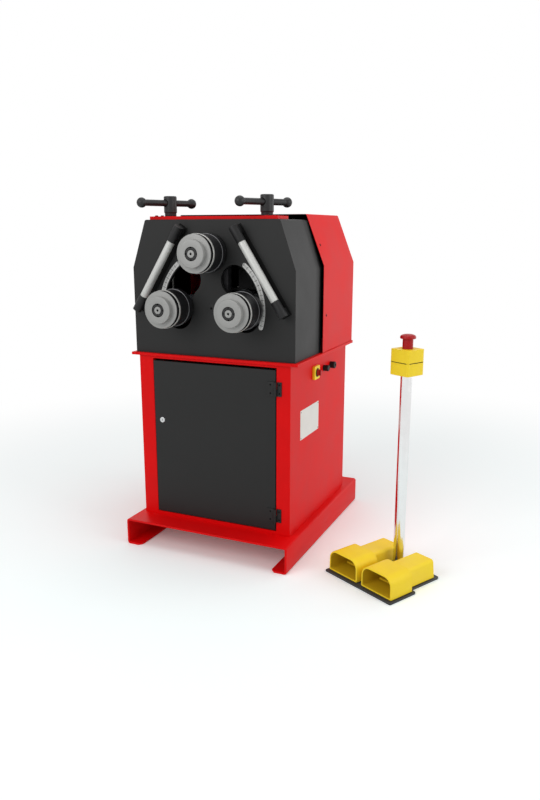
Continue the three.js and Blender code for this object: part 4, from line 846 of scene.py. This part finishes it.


# Handles


# Slanting handle: drawn tube between two sleeves, each with a foot that reaches the panel, and
# a black strip flat on the panel, whose black paints the handle's shadow beside it
def handle(side):
    lean = math.radians(-32.2 if side == "right" else 32.2)
    size = inMetres({"radius": 15, "wall": 2, "shown": 248, "full": 379, "sleeve": 17.5,
        "play": 0.2, "insert": 15, "footWidth": 26, "footLength": 30,
        "footIn": 2, "footLow": 6, "standoff": 33.6, "strip": 39,
        "stripLength": 384, "stripThick": 2, "stripLess": 0.1})
    tube = f"handle_tube_{side}"
    centre = middle(tube)
    along = Vector((math.sin(lean), 0, math.cos(lean)))
    radius, start, end = size["radius"], size["shown"] / 2, size["full"] / 2
    half, inner, outer = start + size["insert"], radius - size["wall"], radius + size["play"]
    turned(f"grip_{side}", [(inner, -half), (radius, -half), (radius, half), (inner, half)],
        centre, along, ["drawnTube"], tube, steps=64)
    forward = Vector((0, 1, 0))
    for level, way in (("upper", along), ("lower", -along)):
        node = f"handle_end_{side}_{level}"
        sleeve = [(0, half), (outer, half), (outer, start), (size["sleeve"], start),
            (size["sleeve"], end), (0, end)]
        turned(f"sleeve_{side}_{level}", sleeve, centre, way, ["blackPlastic"], node, steps=64,
            ease=1.2)
        slab(f"handle_foot_{side}_{level}", (size["footWidth"] / 2, size["footLength"] / 2), 3,
            size["footLow"], size["standoff"], "blackPlastic", bodyOf[node],
            (forward.cross(way).normalized(), way, forward),
            centre + way * (end - size["footLength"] / 2 - size["footIn"]), 0.8)
    # the strip's black is the painted shadow of the handle on the panel
    place = Vector((centre.x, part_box("head_box")[0].y - size["stripThick"], centre.z))
    slab(f"handle_shadow_strip_{side}", (size["strip"] / 2, size["stripLength"] / 2), 2, 0,
        size["stripThick"] - size["stripLess"], "rubberAndShadow", "stand",
        (forward.cross(along).normalized(), along, forward), place, 0.4)
    print("handle done:", side)


# Small pieces on the panel, the cover and the walls


# Flat plug on the panel in line with the drive axis, with a dark screw in its middle
def panelPieces():
    size = {"radius": 19 * mm, "height": 1.2 * mm, "sunk": 0.4 * mm, "screw": (4.4, 1.2, 2.0)}
    drive = middle("drive_shaft", "y")
    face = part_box("head_box")[0].y
    front, back, radius = face - size["height"], face + size["sunk"], size["radius"]
    turned("drive_plug", [(0, back), (radius, back), (radius, front), (0, front)], drive,
        (0, 1, 0), ["greyPaint"], "stand", steps=64, ease=0.6)
    buttonHeads("panel_screw", [(drive.x, front, drive.z)], (0, -1, 0), "blackAndShade", size["screw"])


# Bolts of the top plate, and two on each side of the cover: on its wall and on its slope,
# which leans in from the bend by "slopeRun" over "slopeRise"
def fasteners():
    size = inMetres({"topHeight": 12.3, "topIn": 27, "fromRim": 35, "wallBolt": 947,
        "slopeBolt": 1222, "bend": 1143.5, "slopeRun": 77, "slopeRise": 196.5})
    look = {"top": (7, 4, 2.4), "side": (5.2, 2.4, 1.5), "across": (-248, -222, 222, 248)}
    cover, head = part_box("rear_cover"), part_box("head_box")
    spots = [(middle("rear_cover").x + across * mm, head[0].y + size["topIn"],
        head[1].z + size["topHeight"]) for across in look["across"]]
    buttonHeads("top_plate_bolts", spots, (0, 0, 1), "boltRed", look["top"])
    boltY = cover[0].y + size["fromRim"]
    lean = math.atan2(size["slopeRun"], size["slopeRise"])
    drawn = (size["slopeBolt"] - size["bend"]) * math.tan(lean)
    for sign, name in ((1, "right"), (-1, "left")):
        wall = cover[sign > 0].x
        for part, x, z, way in (
                ("", wall, size["wallBolt"], (sign, 0, 0)),
                ("slope_", wall - sign * drawn, size["slopeBolt"],
                (sign * math.cos(lean), 0, math.sin(lean)))):
            buttonHeads(f"cover_{part}bolt_{name}", [(x, boltY, z)], way, "boltRed", look["side"])
    print("fasteners done")


# Pieces on the right wall stand out along X, with Y across and Z up
offWall = ((0, 1, 0), (0, 0, 1), (1, 0, 0))


# Bare plate on the right wall, held by four rivets
def wallPlate():
    size = inMetres({"halfWidth": 101, "halfHeight": 59.5, "behind": -121, "height": 534.5,
        "low": 0.02, "thick": 1, "rivetIn": 7})
    wide, tall, behind, height, low, thick, rivetIn = size.values()
    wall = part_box("cabinet_shell")[1].x
    centre = Vector((wall, middle("cabinet_shell").y + behind, height))
    slab("wall_plate", (wide, tall), 3, low, thick, "whitePlate", "stand", offWall,
        centre, 0.3)
    spots = [(wall + thick, centre.y + y * (wide - rivetIn), centre.z + z * (tall - rivetIn))
        for y in (-1, 1) for z in (-1, 1)]
    buttonHeads("plate_rivets", spots, (1, 0, 0), "darkSteel", (2.6, 1.1, 0.6))


# Main switch: black collar on the yellow plate, and a knob with a tapering grip
def mainSwitch():
    size = inMetres({"collar": 17.5, "inner": 14.4, "collarHeight": 3, "collarBevel": 0.8,
        "base": 14, "baseHeight": 7, "baseLow": 0.3, "bevel": 1, "flute": 0.5,
        "grip": 8.4, "gripLess": 1.6, "gripSunk": 0.5})
    flute = {"count": 16, "from": 0.9}
    eased("switch_body", "yellowPlastic", 1.2, 3)
    axis = middle("switch_knob", "x")
    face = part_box("switch_body")[1].x
    inner, outer, bevel = size["inner"], size["collar"], size["collarBevel"]
    top = face + size["collarHeight"]
    turned("switch_collar", [(inner, face), (outer, face), (outer, top - bevel),
        (outer - bevel, top), (inner, top)],
        axis, (1, 0, 0), ["blackPlastic"], "stand", 72)
    base, bevel = size["base"], size["bevel"]
    low, top = face + size["baseLow"], face + size["baseHeight"]

    def flutes(reach, distance, turn):
        wave = 0.5 - 0.5 * np.cos(turn * flute["count"])
        return np.where(reach > base * flute["from"], reach - size["flute"] * wave, reach)

    turned("knob_base", [(0, low), (base, low), (base, top - bevel), (base - bevel, top),
        (0, top)],
        axis, (1, 0, 0), ["redPlastic"], "switch_knob", steps=144, ease=0.4, swell=flutes)
    slab("knob_grip", (size["grip"] / 2, base - size["gripLess"]), 2.6, top - size["gripSunk"],
        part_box("switch_knob")[1].x, "redPlastic", bodyOf["switch_knob"], offWall,
        axis, 1.0, 0.8)
    print("switch done")


# Cable gland and pedal socket: black moulded caps with flutes to grip
def cableEntries():
    size = inMetres({"wall": 0.3, "wider": 1.6, "longer": 2, "flute": 0.7, "shank": 9,
        "groove": 2, "rim": 0.4, "mouth": 7, "hole": 6, "pin": 19, "ring": 3.6, "slant": 1,
        "slantEnd": 0.6, "edge": 0.5, "dish": 1.2})
    flute = {"count": 18, "from": 0.9, "step": 0.36}
    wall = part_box("cabinet_shell")[1].x + size["wall"]

    def cap(node, name, mouth):
        low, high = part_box(node)
        radius = (high.y - low.y) / 2 + size["wider"]
        end = high.x + size["longer"]
        step = wall + flute["step"] * (end - wall)

        def flutes(reach, distance, turn):
            wave = 0.5 - 0.5 * np.cos(turn * flute["count"])
            return np.where((reach > radius * flute["from"]) & (distance > step),
                reach - size["flute"] * wave, reach)

        neck, grip, shank = radius - size["rim"], radius - size["groove"], size["shank"]
        profile = [(0, low.x), (shank, low.x), (shank, wall), (neck, wall),
            (neck, step - size["slant"]), (grip, step - size["slantEnd"]), (grip, step),
            (radius, step + size["edge"]), (radius, end - size["groove"]), (grip, end)]
        inner, floor = size["mouth" if mouth else "hole"], end - size["dish"]
        profile += ([(inner, end), (inner, step), (0, step)] if mouth
            else [(inner, end), (inner - size["slant"], floor), (0, floor)])
        turned(name, profile, middle(node, "x"), (1, 0, 0), ["blackPlastic"], node, steps=144,
            ease=0.4, swell=flutes)

    cap("cable_gland", "gland_cap", False)
    cap("cable_socket", "socket_shell", True)
    axis, depth = middle("cable_socket"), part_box("cable_socket")[0].x + size["pin"]
    spots = [(depth, axis.y + size["ring"] * math.cos(a), axis.z + size["ring"] * math.sin(a))
        for a in np.array([0, 1, 2]) * 2 * np.pi / 3]
    buttonHeads("socket_pins", spots, (1, 0, 0), "brightEdge", (1.1, 6, 0.3))
    print("cable entries done")


# Lock: plated head whose face has the key slot, and the cam behind the door
def doorLock():
    size = inMetres({"dish": 0.4, "dishRim": 3.2, "dishEnd": 2.8, "faceRim": 0.9, "bevel": 1.0,
        "head": 3.0, "barrel": 9.6, "short": 4, "camBack": 3, "camWide": 8,
        "camThick": 3})
    dish, dishRim, dishEnd, faceRim, bevel, head, barrel, short, back, wide, thick = size.values()
    node = "door_lock"
    low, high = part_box(node)
    radius = (high.x - low.x) / 2
    axis = Vector(((low.x + high.x) / 2, 0, high.z - radius))
    face, end = low.y, high.y - short
    profile = [(0, face + dish), (radius - dishRim, face + dish), (radius - dishEnd, face),
        (radius - faceRim, face), (radius, face + bevel), (radius, face + head),
        (barrel, face + head), (barrel, end), (0, end)]
    turned("lock_barrel", profile, axis, (0, 1, 0), ["keyFace"], node, steps=72, ease=0.3)
    slab("lock_cam", (wide, (high.z - low.z) / 2), 4, 0, thick, "steel", bodyOf[node],
        ((1, 0, 0), (0, 0, -1), (0, 1, 0)),
        Vector((axis.x, high.y - back, (low.z + high.z) / 2)), 0.4)
    print("lock done")


# Pedal station


# Hood: one moulding that widens from the narrow housing to the wide mouth. Its section is a
# rounded box at each station along the path; the path runs out along the outside, over the
# rounded lip and back along the inside
def hood(side):
    node = f"pedal_hood_{side}"
    column = middle("station_column", "z")
    size = {"inner": 11, "half": 74.5, "front": -213, "back": -100, "top": 93, "round": 36,
        "foot": 4, "wall": 7, "housingHalf": 51.5, "housingRear": 46, "housingTop": 80,
        "housingRound": 12, "bottom": 8.3, "lip": 3.5, "turn": -28, "ease": 3.0,
        "housingDraft": 0.15, "mouthDraft": 0.02, "join": 0.4, "innerJoin": 0.2,
        "flare": (1.2, 0, 0.6, 0), "margin": 2}
    wall, lip, ease, back, rear, bottom = (
        size[name] for name in ("wall", "lip", "ease", "back", "housingRear", "bottom"))
    quarter, semi = np.linspace(0, np.pi / 2, 5), np.linspace(0, np.pi, 9)
    # a section is its half width, floor, top and upper corner
    housing = np.array((size["housingHalf"], bottom, size["housingTop"], size["housingRound"]))
    mouth = np.array((size["half"], bottom, size["top"], size["round"]))
    drawnIn, inwards = np.array((1, 0, 1, 0)), np.array((-1, 1, -1, -1))

    def rows(y, sections):
        y = np.atleast_1d(y)
        return np.column_stack([y, np.broadcast_to(sections, (len(y), 4))])

    path = np.vstack([
        rows(rear - ease * (1 - np.sin(quarter)),
            housing - ease * (1 - np.cos(quarter))[::-1, None] * drawnIn),
        rows(back + ease, housing),
        rows(back + size["join"], housing + size["flare"]),
        rows(back, mouth - (ease, 0, ease, 1)),
        rows(back - ease * np.sin(quarter[1:]),
            mouth - ease * np.cos(quarter[1:])[:, None] * drawnIn),
        rows(size["front"] + lip - lip * np.sin(semi),
            mouth + wall / 2 * (1 - np.cos(semi))[:, None] * inwards),
        rows(back - wall, mouth + wall * inwards),
        rows(back - wall + size["innerJoin"], housing + wall * inwards),
        rows(rear - wall, housing + wall * inwards),
    ])
    y, halfWidth, floor, top, corner = path.T
    ring = boxRing(halfWidth, floor, top, corner, size["foot"], 10)
    # the housing, which is no wider than this, draws in evenly from its floor to its top
    draft = np.where(halfWidth < size["housingHalf"] + size["margin"], size["housingDraft"],
        size["mouthDraft"])[:, None]
    across = ring[..., 0] * (1 - draft * (ring[..., 1] - bottom) / size["housingTop"])
    across = across + (size["inner"] + size["half"]) * (-1 if side == "left" else 1)
    local = np.stack([across, np.broadcast_to(y[:, None], across.shape), ring[..., 1]], -1) * mm
    turn = Matrix.Rotation(math.radians(size["turn"]), 3, "Z")
    # the last rows run along the inside, and get painted shade: a darker yellow
    hollow = np.zeros((len(y) - 1, ring.shape[1]), np.int32)
    hollow[-5:] = 1
    makePiece(f"hood_{side}", local @ np.array(turn).T + np.array(column),
        ["yellowPlastic", "shadedYellow"], node, faceMaterial=hollow.ravel(), sharp=50,
        closeEnds=True)


# Chromed tube, and the push button: its dome's radius is r cos^0.75 a, its height h sin a
def columnAndButton():
    size = inMetres({"wall": 2.2, "stem": 19, "stemBevel": 1, "flare": 2, "cap": 28.5,
        "capHeight": 16, "capBevel": 1.2, "edge": 1.4, "rim": 5.5})
    wall, stem, stemBevel, flare, cap, capHeight, capBevel, edge, rim = size.values()
    low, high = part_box("station_column")
    radius = (high.x - low.x) / 2
    centre = middle("station_column", "z")
    turned("column_tube", [(radius - wall, low.z), (radius, low.z), (radius, high.z),
        (radius - wall, high.z)],
        centre, (0, 0, 1), ["chrome"], "station_column", steps=128, ease=0.4)
    low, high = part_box("stop_button")
    base = high.z - capHeight
    t = np.linspace(0, np.pi / 2, 10)
    dome = np.stack([cap * np.cos(t) ** 0.75, base + rim + (capHeight - rim) * np.sin(t)], -1)
    dome[-1, 0] = 0
    profile = np.vstack([[(0, low.z), (stem - stemBevel, low.z), (stem, low.z + stemBevel),
        (stem, base - flare), (stem + flare, base), (cap - capBevel, base),
        (cap, base + edge)], dome])
    turned("mushroom_button", profile, centre, (0, 0, 1), ["redPlastic"], "stop_button", ease=0)
    print("column and button done")


# Dark seal that shows as a line between the two halves of the stop box: the rim's corners,
# in order of their angle, moved out a little
def seal():
    size = inMetres({"out": 0.35, "half": 1.3, "near": 0.1})
    split = (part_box("stop_box_lower")[1].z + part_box("stop_box_upper")[0].z) / 2
    mesh = frame["nodes"]["stop_box_lower"].data
    rim = np.array([corner.co[:] for corner in mesh.vertices])
    rim = rim[rim[:, 2] > rim[:, 2].max() - size["near"]][:, :2]
    centre = (rim.min(0) + rim.max(0)) / 2
    offset = rim - centre
    order = np.argsort(np.arctan2(offset[:, 1], offset[:, 0]))
    ring = centre + offset[order] * (1 + size["out"] / np.linalg.norm(offset, axis=1).min())
    grid = np.stack([np.column_stack([ring, np.full(len(ring), split + z)])
        for z in (-size["half"], size["half"])])
    makePiece("box_seal", grid, ["rubberAndShadow"], bodyOf["stop_box_lower"],
        closeEnds=True)


def station():
    eased("station_plate", "blackPaintAndShade", 1.0)
    hood("left")
    hood("right")
    # the treads sit deep in the hoods and take the yellow with painted shade
    for side in sides:
        eased(f"pedal_tread_{side}", "shadedYellow", 1.2)
    columnAndButton()
    for node in ("stop_box_lower", "stop_box_upper"):
        eased(node, "yellowPlastic", 1.4, 3)
    seal()
    eased("station_gland", "blackPlastic", 0.5)
    print("station done")


sheetMetal()
castings()
keptNodes()
hinges()
rolls()
screws()
handle("left")
handle("right")
panelPieces()
fasteners()
wallPlate()
mainSwitch()
cableEntries()
doorLock()
station()
